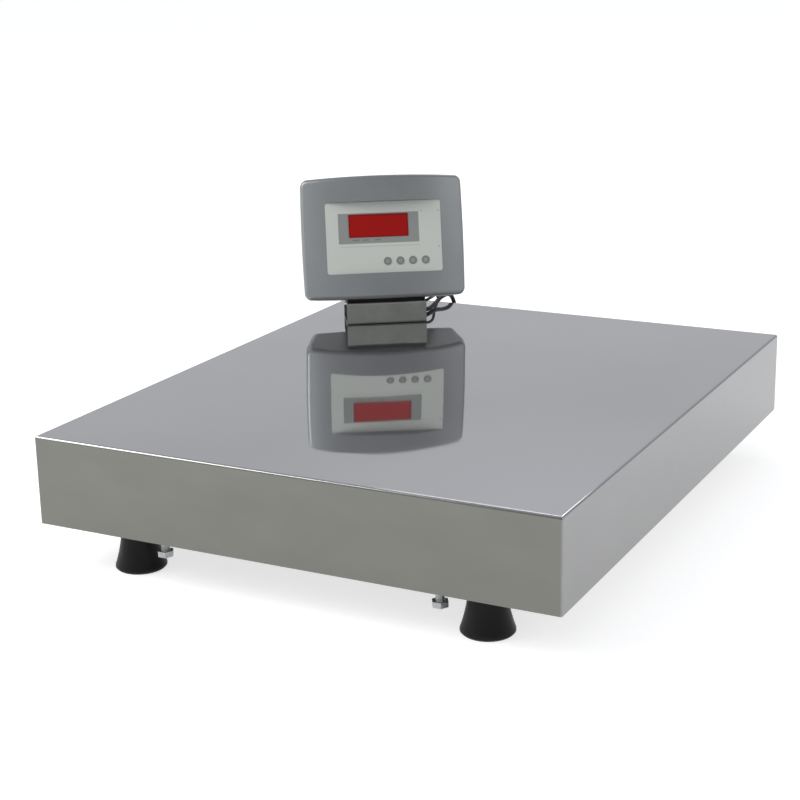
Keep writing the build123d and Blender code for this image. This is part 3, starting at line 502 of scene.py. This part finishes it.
def brushed_strip(tree):
    where = place(tree)
    smears = effect(
        tree,
        patches,
        Place=where,
        Scale=55.0,
        Detail=5.0,
        Unevenness=0.65,
        First_Colour=(0.245, 0.255, 0.225),
        Second_Colour=(0.31, 0.32, 0.29),
    )
    lines = effect(
        tree,
        fine_grain,
        Place=stretched(tree, where, (40.0, 40.0, 2600.0)),
        Scale=1.0,
        Depth=0.00006,
        Strength=0.4,
    )
    return {
        "Base_Color": smears["Colour"],
        "Metallic": 1.0,
        "Roughness": span(tree, smears["Value"], 0.3, 0.75, 0.30, 0.42),
        "Normal": lines["Normal"],
    }


brushed = finish_of("brushed_strip", brushed_strip)
dress(brushed, "stand_bracket")

# Rubber plate on the stand, as painted shade
# A sheet of black rubber between the stand and the indicator, cut a little smaller than the
# stand and held by the two screws, so that it shows as a dark line. It is painted shade: a dark
# sheet put where there is only the shade of the gap under the indicator.
face_tilt = math.radians(14.5)
face_middle = stand_front + stand_behind * 0.0166
face_middle += Vector((0, 0, 0.0928))
face_across = Vector((math.cos(stand_yaw), math.sin(stand_yaw), 0))
face_toward = Vector(
    (
        math.sin(stand_yaw) * math.cos(face_tilt),
        -math.cos(stand_yaw) * math.cos(face_tilt),
        math.sin(face_tilt),
    )
)
face_up = face_toward.cross(face_across)
plate_across = (-0.04235, 0.04235)
plate_behind = (0.0030, 0.0450)
plate_below = (0.0666, 0.0692)


def moulded_rubber(tree):
    where = place(tree)
    wear = effect(
        tree,
        patches,
        Place=where,
        Scale=60.0,
        Unevenness=0.65,
        Colour_Low=0.4,
        Colour_High=0.75,
        First_Colour=(0.004, 0.004, 0.004),
        Second_Colour=(0.012, 0.012, 0.012),
        First_Roughness=0.52,
        Second_Roughness=0.66,
    )
    grain = effect(tree, fine_grain, Place=where, Scale=3000.0, Depth=0.00012, Strength=0.5)
    return {
        "Base_Color": wear["Colour"],
        "Specular_IOR_Level": 0.25,
        "Roughness": wear["Roughness"],
        "Normal": grain["Normal"],
    }


def block_between(name, middle, axes, spans, edge, material):
    """A block on three axes, between two distances along each, with its edges rounded."""
    corners = []
    for turn in range(8):
        corner = middle.copy()
        for i, (axis, (low, high)) in enumerate(zip(axes, spans, strict=True)):
            corner += axis * (high if turn >> i & 1 else low)
        corners.append(corner)
    mesh = bpy.data.meshes.new(name)
    faces = [(0, 2, 3, 1), (4, 5, 7, 6), (0, 1, 5, 4), (2, 6, 7, 3), (0, 4, 6, 2), (1, 3, 7, 5)]
    if axes[0].cross(axes[1]).dot(axes[2]) < 0:
        faces = [face[::-1] for face in faces]
    mesh.from_pydata(corners, [], faces)
    block = bpy.data.objects.new(name, mesh)
    bpy.context.scene.collection.objects.link(block)
    rounding = block.modifiers.new("edge", "BEVEL")
    rounding.width = edge
    rounding.segments = 2
    dress(material, block)
    return block


rubber = finish_of("moulded_rubber", moulded_rubber)
# Painted shade: this dark plate fills the shaded gap between the stand and the indicator.
shade_plate = block_between(
    "stand_shade_plate",
    face_middle,
    (face_across, -face_toward, -face_up),
    (plate_across, plate_behind, plate_below),
    0.0004,
    rubber,
)
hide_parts("stand_washers")
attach(shade_plate, "stand")

# Folded tab on the stand
# The strip's foot ends in a tab, folded upright behind the open left end. It is of the same
# sheet and stiffens the channel.
tab_across = (-0.04335, -0.02135)
tab_behind = (0.0446, 0.0460)
tab_height = (0.0014, 0.0135)
stand_tab = block_between(
    "stand_tab",
    stand_front,
    (face_across, stand_behind, Vector((0, 0, 1))),
    (tab_across, tab_behind, tab_height),
    0.0003,
    brushed,
)
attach(stand_tab, "stand")


# Indicator housing
# Two moulded shells of grey plastic under a satin metallic lacquer with a fine flake, screwed
# together from behind.
def lacquer(tree):
    where = place(tree)
    tone = effect(
        tree,
        patches,
        Place=where,
        Scale=18.0,
        First_Colour=(0.240, 0.250, 0.252),
        Second_Colour=(0.264, 0.274, 0.276),
    )
    flake = effect(tree, fine_grain, Place=where, Scale=2200.0, Depth=0.00004, Strength=0.3)
    return {
        "Base_Color": tone["Colour"],
        "Metallic": 0.55,
        "Roughness": span(tree, flake["Height"], 0.3, 0.7, 0.34, 0.44),
        "Normal": flake["Normal"],
    }


dress(finish_of("lacquer", lacquer), "front_shell", "rear_shell")

# Front panel
# A printed polyester film on the recess of the front shell. The print is a grey field behind the
# window and a few small marks; the key caps are printed to match. It is laid out in millimetres
# from the panel's middle.
film_colour = (0.665, 0.690, 0.630)
print_grey = (0.300, 0.315, 0.295)
rim_brown = (0.30, 0.20, 0.18)
ink_black = (0.10, 0.105, 0.10)
window_middle = (-5.4, 12.7)
field_box = ((-5.3, 10.1), (43.8, 16.4), 0.4)
rim_box = (window_middle, (33.1, 13.1), 1.6)
line_of_words = ((-4.0, -9.6), (43.5, 0.5), 0.2, 0.6)
label_middles = [(across, -2.6) for across in (-30.4, -19.6, -6.6)]
dot_middles = ((41.6, 26.7), (60.0, 27.0), (60.0, -12.3))


def on_face(tree):
    """Millimetres to the right of and above the middle of the panel."""
    having = {"operation": "SUBTRACT"}
    moved = put(tree, "ShaderNodeVectorMath", (place(tree), tuple(face_middle)), having)
    sides = []
    for axis in (face_across, face_up):
        having = {"operation": "DOT_PRODUCT"}
        side = put(tree, "ShaderNodeVectorMath", (moved.outputs["Vector"], tuple(axis)), having)
        sides.append(number(tree, "MULTIPLY", side.outputs["Value"], 1000.0))
    return sides


rounded_box, given = new_effect(
    "rounded box",
    {
        "X": 0.0,
        "Y": 0.0,
        "Middle X": 0.0,
        "Middle Y": 0.0,
        "Half Width": 1.0,
        "Half Height": 1.0,
        "Corner": 0.1,
        "Edge": 0.25,
    },
    {"Mask": 0.0},
)
squares = []
for along, middle, half in (("X", "Middle X", "Half Width"), ("Y", "Middle Y", "Half Height")):
    away = number(rounded_box, "SUBTRACT", given[along], given[middle])
    straight = number(rounded_box, "SUBTRACT", given[half], given["Corner"])
    past = number(rounded_box, "SUBTRACT", number(rounded_box, "ABSOLUTE", away), straight)
    past = number(rounded_box, "MAXIMUM", past, 0.0)
    squares.append(number(rounded_box, "MULTIPLY", past, past))
beyond = number(rounded_box, "SQRT", number(rounded_box, "ADD", *squares))
beyond = number(rounded_box, "SUBTRACT", beyond, given["Corner"])
outside = number(rounded_box, "DIVIDE", beyond, given["Edge"])
put(rounded_box, "NodeGroupOutput", Mask=number(rounded_box, "SUBTRACT", 0.5, outside, clamp=True))


def box_at(tree, x, y, middle, half, corner=0.1, edge=0.25):
    """A mask that is 1 in a box with rounded corners and a soft edge."""
    return effect(
        tree,
        rounded_box,
        X=x,
        Y=y,
        Middle_X=middle[0],
        Middle_Y=middle[1],
        Half_Width=half[0],
        Half_Height=half[1],
        Corner=corner,
        Edge=edge,
    )["Mask"]


def printed_film(tree):
    where = place(tree)
    x, y = on_face(tree)
    colour = blend_colours(tree, box_at(tree, x, y, *field_box), film_colour, print_grey)
    colour = blend_colours(tree, box_at(tree, x, y, *rim_box), colour, rim_brown)
    marks = 0.0
    for middle in label_middles:
        marks = number(tree, "ADD", marks, box_at(tree, x, y, middle, (3.4, 0.55), 0.2, 0.6))
    for middle in dot_middles:
        marks = number(tree, "ADD", marks, box_at(tree, x, y, middle, (0.6, 0.6), 0.5, 0.3))
    dashes = number(tree, "LESS_THAN", number(tree, "PINGPONG", x, 1.35), 1.0)
    words = number(tree, "MULTIPLY", box_at(tree, x, y, *line_of_words), dashes)
    ink = number(tree, "ADD", marks, number(tree, "MULTIPLY", words, 0.45), clamp=True)
    sheen = effect(
        tree,
        patches,
        Place=where,
        Scale=30.0,
        Detail=3.0,
        Unevenness=0.5,
        First_Roughness=0.40,
        Second_Roughness=0.48,
    )
    grain = effect(tree, fine_grain, Place=where, Scale=3500.0, Depth=0.00004, Strength=0.35)
    return {
        "Base_Color": blend_colours(tree, number(tree, "MULTIPLY", ink, 0.7), colour, ink_black),
        "Roughness": sheen["Roughness"],
        "Normal": grain["Normal"],
    }


dress(finish_of("printed_film", printed_film), "overlay_panel")

# Keys
# Four round moulded caps of the film's colour, which stand in wells of the front shell. Each is
# printed with a grey disc, paler in its middle, and a small plain sign.
key_first = (3.0, -26.1)
key_pitch = 13.8
key_grey = (0.205, 0.215, 0.205)
sign_colour = (0.42, 0.45, 0.41)
key_signs = {
    "power": [(0.3, 1.5)],
    "zero": [(1.6, 0.3)],
    "tare": [(1.4, 0.3), (0.3, 1.1)],
    "print": [(1.1, 1.1)],
}


def key_cap(tree, middle, sign):
    x, y = on_face(tree)
    spot = put(tree, "ShaderNodeCombineXYZ", (x, y, 0.0)).outputs[0]
    having = {"operation": "DISTANCE"}
    radius = put(tree, "ShaderNodeVectorMath", (spot, (*middle, 0.0)), having).outputs["Value"]
    disc = span(tree, radius, 4.2, 4.45, 1.0, 0.0)
    core = span(tree, radius, 2.2, 3.1, 1.0, 0.0)
    shade = number(tree, "SUBTRACT", disc, number(tree, "MULTIPLY", core, 0.18), clamp=True)
    colour = blend_colours(tree, shade, film_colour, key_grey)
    for half in sign:
        bar = number(tree, "MULTIPLY", box_at(tree, x, y, middle, half, 0.15, 0.4), 0.8)
        colour = blend_colours(tree, bar, colour, sign_colour)
    grain = effect(
        tree, fine_grain, Place=place(tree), Scale=3200.0, Depth=0.00005, Strength=0.4
    )
    return {
        "Base_Color": colour,
        "Roughness": span(tree, grain["Height"], 0.3, 0.7, 0.42, 0.50),
        "Normal": grain["Normal"],
    }


for i, (key, sign) in enumerate(key_signs.items()):
    middle = (key_first[0] + i * key_pitch, key_first[1])
    cap = finish_of(f"key_cap_{key}", lambda tree, m=middle, s=sign: key_cap(tree, m, s))
    dress(cap, f"key_{key}")

# Display window
# A plate of clear red acrylic, polished, that lies flush with the film in the recess. Its edges
# are painted a darker red, as painted shade round the window.
# Painted shade: the darker red round the window's edge.
window_edge_shade = (0.19, 0.003, 0.003)
window_red = (0.400, 0.005, 0.003)


def red_acrylic(tree):
    x, y = on_face(tree)
    # Outside this box the painted shade darkens the red.
    inner = box_at(tree, x, y, window_middle, (31.4, 11.5), 1.4, 1.6)
    haze = effect(
        tree,
        patches,
        Place=place(tree),
        Scale=60.0,
        Detail=3.0,
        Unevenness=0.5,
        First_Roughness=0.12,
        Second_Roughness=0.20,
    )
    return {
        "Base_Color": blend_colours(tree, inner, window_edge_shade, window_red),
        "Specular_IOR_Level": 0.15,
        "Roughness": haze["Roughness"],
    }


dress(finish_of("red_acrylic", red_acrylic), "display_window")


# Inside the indicator
# The block of digits, the green circuit board and the key switches, which only an opened
# indicator shows.
def display_resin(tree):
    haze = effect(
        tree,
        patches,
        Place=place(tree),
        Scale=900.0,
        Detail=3.0,
        Unevenness=0.5,
        First_Roughness=0.35,
        Second_Roughness=0.5,
    )
    return {"Base_Color": (0.02, 0.02, 0.022), "Roughness": haze["Roughness"]}


dress(finish_of("display_resin", display_resin), "display_module", "key_switches")


def circuit_board(tree):
    x, y = on_face(tree)
    copper = effect(
        tree,
        patches,
        Place=put(tree, "ShaderNodeCombineXYZ", (x, y, 0.0)).outputs[0],
        Scale=0.35,
        Detail=1.0,
        Unevenness=0.5,
    )
    tracks = number(tree, "GREATER_THAN", copper["Value"], 0.52)
    return {
        "Base_Color": blend_colours(tree, tracks, (0.010, 0.085, 0.030), (0.020, 0.150, 0.055)),
        "Roughness": 0.28,
        "Normal": bump(tree, tracks, 0.00003, 0.5),
    }


dress(finish_of("circuit_board", circuit_board), "main_board")

# Cell cable
# A round cable with a dull black extruded rubber jacket and a little dust. It leaves the
# indicator's underside, crosses the platter's back edge, hangs down and is wound up on the floor.
# From there it runs through two clips on the frame to the load cell.
cell_diameter = 0.0048
cell_rise = (-0.1372, 0.2915, platter_top + 0.0075)
cell_crest = (-0.1360, 0.3000, platter_top + 0.0079)
cell_exit = (-0.15525, 0.21203, 0.13989)
cell_coil = (-0.106, 0.367)
cell_lays = [
    (0.0270, 0.0120),
    (0.0222, 0.0120),
    (0.0222, 0.0072),
    (0.0222, 0.0024),
    (0.0270, 0.0024),
    (0.0270, 0.0072),
    (0.0318, 0.0072),
    (0.0318, 0.0024),
]
clip_height = 0.0493


def cable_jacket(tree):
    where = place(tree)
    dust = effect(
        tree,
        patches,
        Place=where,
        Scale=90.0,
        Colour_Low=0.35,
        Colour_High=0.75,
        First_Colour=(0.004, 0.004, 0.005),
        Second_Colour=(0.012, 0.012, 0.012),
        First_Roughness=0.38,
        Second_Roughness=0.56,
    )
    grain = effect(tree, fine_grain, Place=where, Scale=2600.0, Depth=0.0001, Strength=0.35)
    return {
        "Base_Color": dust["Colour"],
        "Roughness": dust["Roughness"],
        "Specular_IOR_Level": 0.25,
        "Normal": grain["Normal"],
    }


jacket = finish_of("cable_jacket", cable_jacket)


def tube_through(name, points, diameter):
    """A round tube along a smooth line through the runs between the points, and that line."""
    shown = {}
    for part, depth in (("tube", diameter / 2), ("line", 0.0)):
        curve = bpy.data.curves.new(name + part, "CURVE")
        curve.dimensions = "3D"
        curve.resolution_u = 8
        curve.bevel_depth = depth
        curve.bevel_resolution = 5
        curve.use_fill_caps = depth > 0
        spline = curve.splines.new("NURBS")
        spline.points.add(len(points) - 1)
        for control, point in zip(spline.points, points, strict=True):
            control.co = (*point, 1)
        spline.order_u = 3
        spline.use_endpoint_u = True
        holder = bpy.data.objects.new(name + part, curve)
        bpy.context.scene.collection.objects.link(holder)
        bpy.context.view_layer.update()
        evaluated = holder.evaluated_get(bpy.context.evaluated_depsgraph_get())
        shown[part] = bpy.data.meshes.new_from_object(evaluated)
        bpy.data.objects.remove(holder)
        bpy.data.curves.remove(curve)
    path = [tuple(vertex.co) for vertex in shown["line"].vertices]
    tube = bpy.data.objects.new(name, shown["tube"])
    bpy.context.scene.collection.objects.link(tube)
    tube.data.polygons.foreach_set("use_smooth", [True] * len(tube.data.polygons))
    dress(jacket, tube)
    return tube, path


def coil_through(centre, lays, start, sweep, step=math.radians(30)):
    """Points of a coil: each lay is a turn's radius and height, and the last is part of one."""
    points = []
    count = round(abs(sweep) / step)
    per_turn = round(2 * math.pi / step)
    for i in range(count + 1):
        turn, done = divmod(i, per_turn)
        radius, height = lays[turn]
        after = lays[min(turn + 1, len(lays) - 1)]
        share = max(0.0, (done - per_turn * 2 / 3) / (per_turn / 3))
        radius += (after[0] - radius) * share
        height += (after[1] - height) * share
        angle = start + math.copysign(i * step, sweep)
        control = radius / math.cos(step / 2)
        points.append(
            (
                centre[0] + control * math.cos(angle),
                centre[1] + control * math.sin(angle),
                height,
            )
        )
    return points


def run_on(start, end, length):
    """The point that continues the run from one point to the next by a length."""
    return tuple(Vector(end) + (Vector(end) - Vector(start)).normalized() * length)


cell_upper, cell_upper_path = tube_through(
    "cell_cable_upper",
    [
        cell_exit,
        (-0.15438, 0.21069, 0.13369),
        (-0.14989, 0.21407, platter_top + 0.0043),
        (-0.14213, 0.22667, platter_top + 0.0044),
        (-0.13621, 0.23772, platter_top + 0.0042),
        (-0.13290, 0.25050, platter_top + 0.0028),
        (-0.13460, 0.26450, platter_top + 0.0029),
        (-0.13670, 0.27900, platter_top + 0.0046),
        cell_rise,
        cell_crest,
    ],
    cell_diameter,
)
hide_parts("cell_cable_top")
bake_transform(cell_upper)

cell_turned = coil_through(cell_coil, cell_lays, math.pi, -15 * math.pi)
cell_leaving = (-0.0735, 0.3520, 0.0026)
cell_join = tuple((Vector(cell_turned[-1]) + Vector(cell_leaving)) / 2)
cell_lower, cell_lower_path = tube_through(
    "cell_cable_lower",
    [
        cell_crest,
        run_on(cell_rise, cell_crest, 0.0075),
        (-0.1334, 0.3154, platter_top + 0.0006),
        (-0.1318, 0.3184, 0.1080),
        (-0.1310, 0.3186, 0.0880),
        (-0.1312, 0.3178, 0.0660),
        (-0.1316, 0.3190, 0.0470),
        (-0.1323, 0.3230, 0.0310),
        (-0.1329, 0.3310, 0.0182),
        (-0.1332, 0.3427, 0.0125),
        (-0.1333, 0.3550, 0.0120),
        *cell_turned,
        cell_join,
    ],
    cell_diameter,
)
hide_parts("cell_cable_drop", "cell_cable_coil")
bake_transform(cell_lower)

cell_inner, cell_inner_path = tube_through(
    "cell_cable_inner",
    [
        cell_join,
        cell_leaving,
        (-0.0698, 0.3350, 0.0044),
        (-0.0646, 0.3225, 0.0106),
        (-0.0585, 0.3105, 0.0210),
        (-0.0524, 0.2985, 0.0326),
        (-0.0480, 0.2870, 0.0430),
        (-0.0460, 0.2765, clip_height),
        (-0.0460, 0.2680, clip_height),
        (-0.0460, 0.2495, clip_height),
        (-0.0422, 0.2320, clip_height + 0.0010),
        (-0.0357, 0.2140, 0.0545),
        (-0.0302, 0.1910, 0.0595),
        (-0.0277, 0.1640, 0.0620),
        (-0.0277, 0.1340, 0.0620),
        (-0.0300, 0.1140, 0.0630),
        (-0.0350, 0.0940, 0.0685),
        (-0.0405, 0.0760, 0.0765),
        (-0.0410, 0.0615, 0.0835),
        (-0.0350, 0.0530, 0.0875),
        (-0.0260, 0.0530, 0.0875),
    ],
    cell_diameter,
)
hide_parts("cell_cable_tail", "cell_lead")
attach(cell_inner, "base")

# Supply's lead
# A thinner lead with the same black jacket. It follows the cell cable over the platter's back
# edge, hangs down, is wound up on its own and ends at the adapter.
power_diameter = 0.0032
power_rise = (-0.1452, 0.2890, platter_top + 0.0086)
power_crest = (-0.1486, 0.3000, platter_top + 0.0072)
power_exit = (-0.17031, 0.20218, 0.13989)
power_coil = (-0.170, 0.350)
power_lays = [
    (0.0180, 0.0112),
    (0.0142, 0.0112),
    (0.0142, 0.0080),
    (0.0142, 0.0048),
    (0.0142, 0.0016),
    (0.0180, 0.0016),
    (0.0218, 0.0016),
    (0.0218, 0.0048),
    (0.0180, 0.0048),
    (0.0180, 0.0080),
    (0.0218, 0.0080),
]
power_upper, power_upper_path = tube_through(
    "power_lead_upper",
    [
        power_exit,
        (-0.16949, 0.20092, 0.13408),
        (-0.16822, 0.20482, platter_top + 0.0060),
        (-0.16316, 0.21590, platter_top + 0.0054),
        (-0.15282, 0.22840, platter_top + 0.0068),
        (-0.14142, 0.23837, platter_top + 0.0094),
        (-0.13457, 0.24799, platter_top + 0.0132),
        (-0.13460, 0.26150, platter_top + 0.0138),
        (-0.13920, 0.27550, platter_top + 0.0116),
        power_rise,
        power_crest,
    ],
    power_diameter,
)
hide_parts("power_lead_top")
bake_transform(power_upper)

power_lower, power_lower_path = tube_through(
    "power_lead_lower",
    [
        power_crest,
        run_on(power_rise, power_crest, 0.0090),
        (-0.1524, 0.3156, platter_top - 0.0035),
        (-0.1528, 0.3172, 0.1010),
        (-0.1526, 0.3166, 0.0800),
        (-0.1523, 0.3152, 0.0590),
        (-0.1521, 0.3152, 0.0400),
        (-0.1520, 0.3180, 0.0250),
        (-0.1518, 0.3235, 0.0155),
        (-0.1516, 0.3314, 0.0116),
        (-0.1514, 0.3410, 0.0112),
        *coil_through(power_coil, power_lays, 0.0, 20.5 * math.pi),
        (-0.1825, 0.3700, 0.0080),
        (-0.1880, 0.3680, 0.0080),
        (-0.1944, 0.3680, 0.0080),
    ],
    power_diameter,
)
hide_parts("power_lead_drop", "power_lead_coil", "power_lead_end")
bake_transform(power_lower)

# Moulded rubber on the cables
# The two grommets in the indicator's underside and the sleeve on the adapter are moulded on to
# the cables, in the same matt rubber as the stand's plate.
dress(rubber, "cable_grommets", "adapter_relief")

# Adapter
# A plug-in power supply: two welded halves of black ABS with a textured skin and round plated
# pins moulded into its face.
weld_height = 0.0175
weld_half_width = 0.00025


def adapter_skin(tree):
    where = place(tree)
    off = number(tree, "SUBTRACT", parts_of(tree, where)["Z"], weld_height)
    weld = number(tree, "LESS_THAN", number(tree, "ABSOLUTE", off), weld_half_width)
    scuffs = effect(tree, patches, Place=where, Scale=45.0, Detail=5.0, Unevenness=0.7)
    grain = effect(tree, fine_grain, Place=where, Scale=1500.0)
    height = number(tree, "SUBTRACT", number(tree, "MULTIPLY", grain["Height"], 0.3), weld)
    return {
        "Base_Color": blend_colours(tree, weld, (0.016, 0.016, 0.017), (0.004, 0.004, 0.004)),
        "Roughness": span(tree, scuffs["Value"], 0.3, 0.75, 0.42, 0.6),
        "Normal": bump(tree, height, 0.0003, 0.6),
    }


def plated_pin(tree):
    scratches = effect(
        tree,
        fine_grain,
        Place=stretched(tree, place(tree), (900.0, 900.0, 40.0)),
        Scale=1.0,
        Detail=3.0,
        Depth=0.00003,
        Strength=0.3,
    )
    return {
        "Base_Color": (0.66, 0.62, 0.52),
        "Metallic": 1.0,
        "Roughness": span(tree, scratches["Height"], 0.3, 0.7, 0.16, 0.32),
        "Normal": scratches["Normal"],
    }


dress(finish_of("adapter_skin", adapter_skin), "adapter_case")
dress(finish_of("plated_pin", plated_pin), "adapter_pins")

# Studio
# A wide pale floor under a surround that is white at the horizon and greyer above, with a broad
# lamp over the left front, a weak one on the right and one behind. None of it is the object's.
floor_half = 40.0
floor_paint = (0.60, 0.60, 0.60)
floor_glow = 0.70
horizon_white = (1.0, 1.0, 1.0)
low_grey = (0.66, 0.67, 0.69)
high_grey = (0.45, 0.46, 0.49)
floor_mesh = bpy.data.meshes.new("floor")
floor_corners = [
    (-floor_half, -floor_half, 0),
    (floor_half, -floor_half, 0),
    (floor_half, floor_half, 0),
    (-floor_half, floor_half, 0),
]
floor_mesh.from_pydata(floor_corners, [], [(0, 1, 2, 3)])
floor = bpy.data.objects.new("floor", floor_mesh)
bpy.context.scene.collection.objects.link(floor)
floor_material = bpy.data.materials.new("floor")
floor_material.use_nodes = True
tree = floor_material.node_tree
tree.nodes.clear()
paths = put(tree, "ShaderNodeLightPath").outputs
seen = number(tree, "MAXIMUM", paths["Is Camera Ray"], paths["Is Glossy Ray"])
seen = number(tree, "MAXIMUM", seen, paths["Is Transmission Ray"])
paint = put(tree, "ShaderNodeBsdfDiffuse", Color=floor_paint)
strength = number(tree, "MULTIPLY", seen, floor_glow)
glow = put(tree, "ShaderNodeEmission", Color=horizon_white, Strength=strength)
both = put(tree, "ShaderNodeAddShader", (paint.outputs[0], glow.outputs[0]))
put(tree, "ShaderNodeOutputMaterial", Surface=both.outputs[0])
floor.data.materials.append(floor_material)

world = bpy.data.worlds.new("world")
bpy.context.scene.world = world
world.use_nodes = True
tree = world.node_tree
tree.nodes.clear()
height = parts_of(tree, put(tree, "ShaderNodeTexCoord").outputs["Generated"])["Z"]
walls = blend_colours(tree, span(tree, height, 0.0, 0.12), horizon_white, low_grey)
sky = blend_colours(tree, span(tree, height, 0.12, 0.6), walls, high_grey)
surround = put(tree, "ShaderNodeBackground", Color=sky, Strength=1.0)
put(tree, "ShaderNodeOutputWorld", Surface=surround.outputs[0])


def lamp(name, at, towards, size, power):
    data = bpy.data.lights.new(name, "AREA")
    data.shape = "RECTANGLE"
    data.size, data.size_y = size
    data.energy = power
    made = bpy.data.objects.new(name, data)
    made.location = at
    made.rotation_euler = (Vector(towards) - Vector(at)).to_track_quat("-Z", "Y").to_euler()
    bpy.context.scene.collection.objects.link(made)


lamp("left_front_lamp", (-1.9, -1.2, 1.7), (0, 0, 0.1), (1.6, 1.6), 50.0)
lamp("right_lamp", (2.4, 0.5, 1.4), (0, 0, 0.1), (1.4, 1.4), 10.0)
lamp("back_lamp", (-0.6, 2.6, 2.2), (0, 0, 0.1), (2.0, 0.8), 15.0)
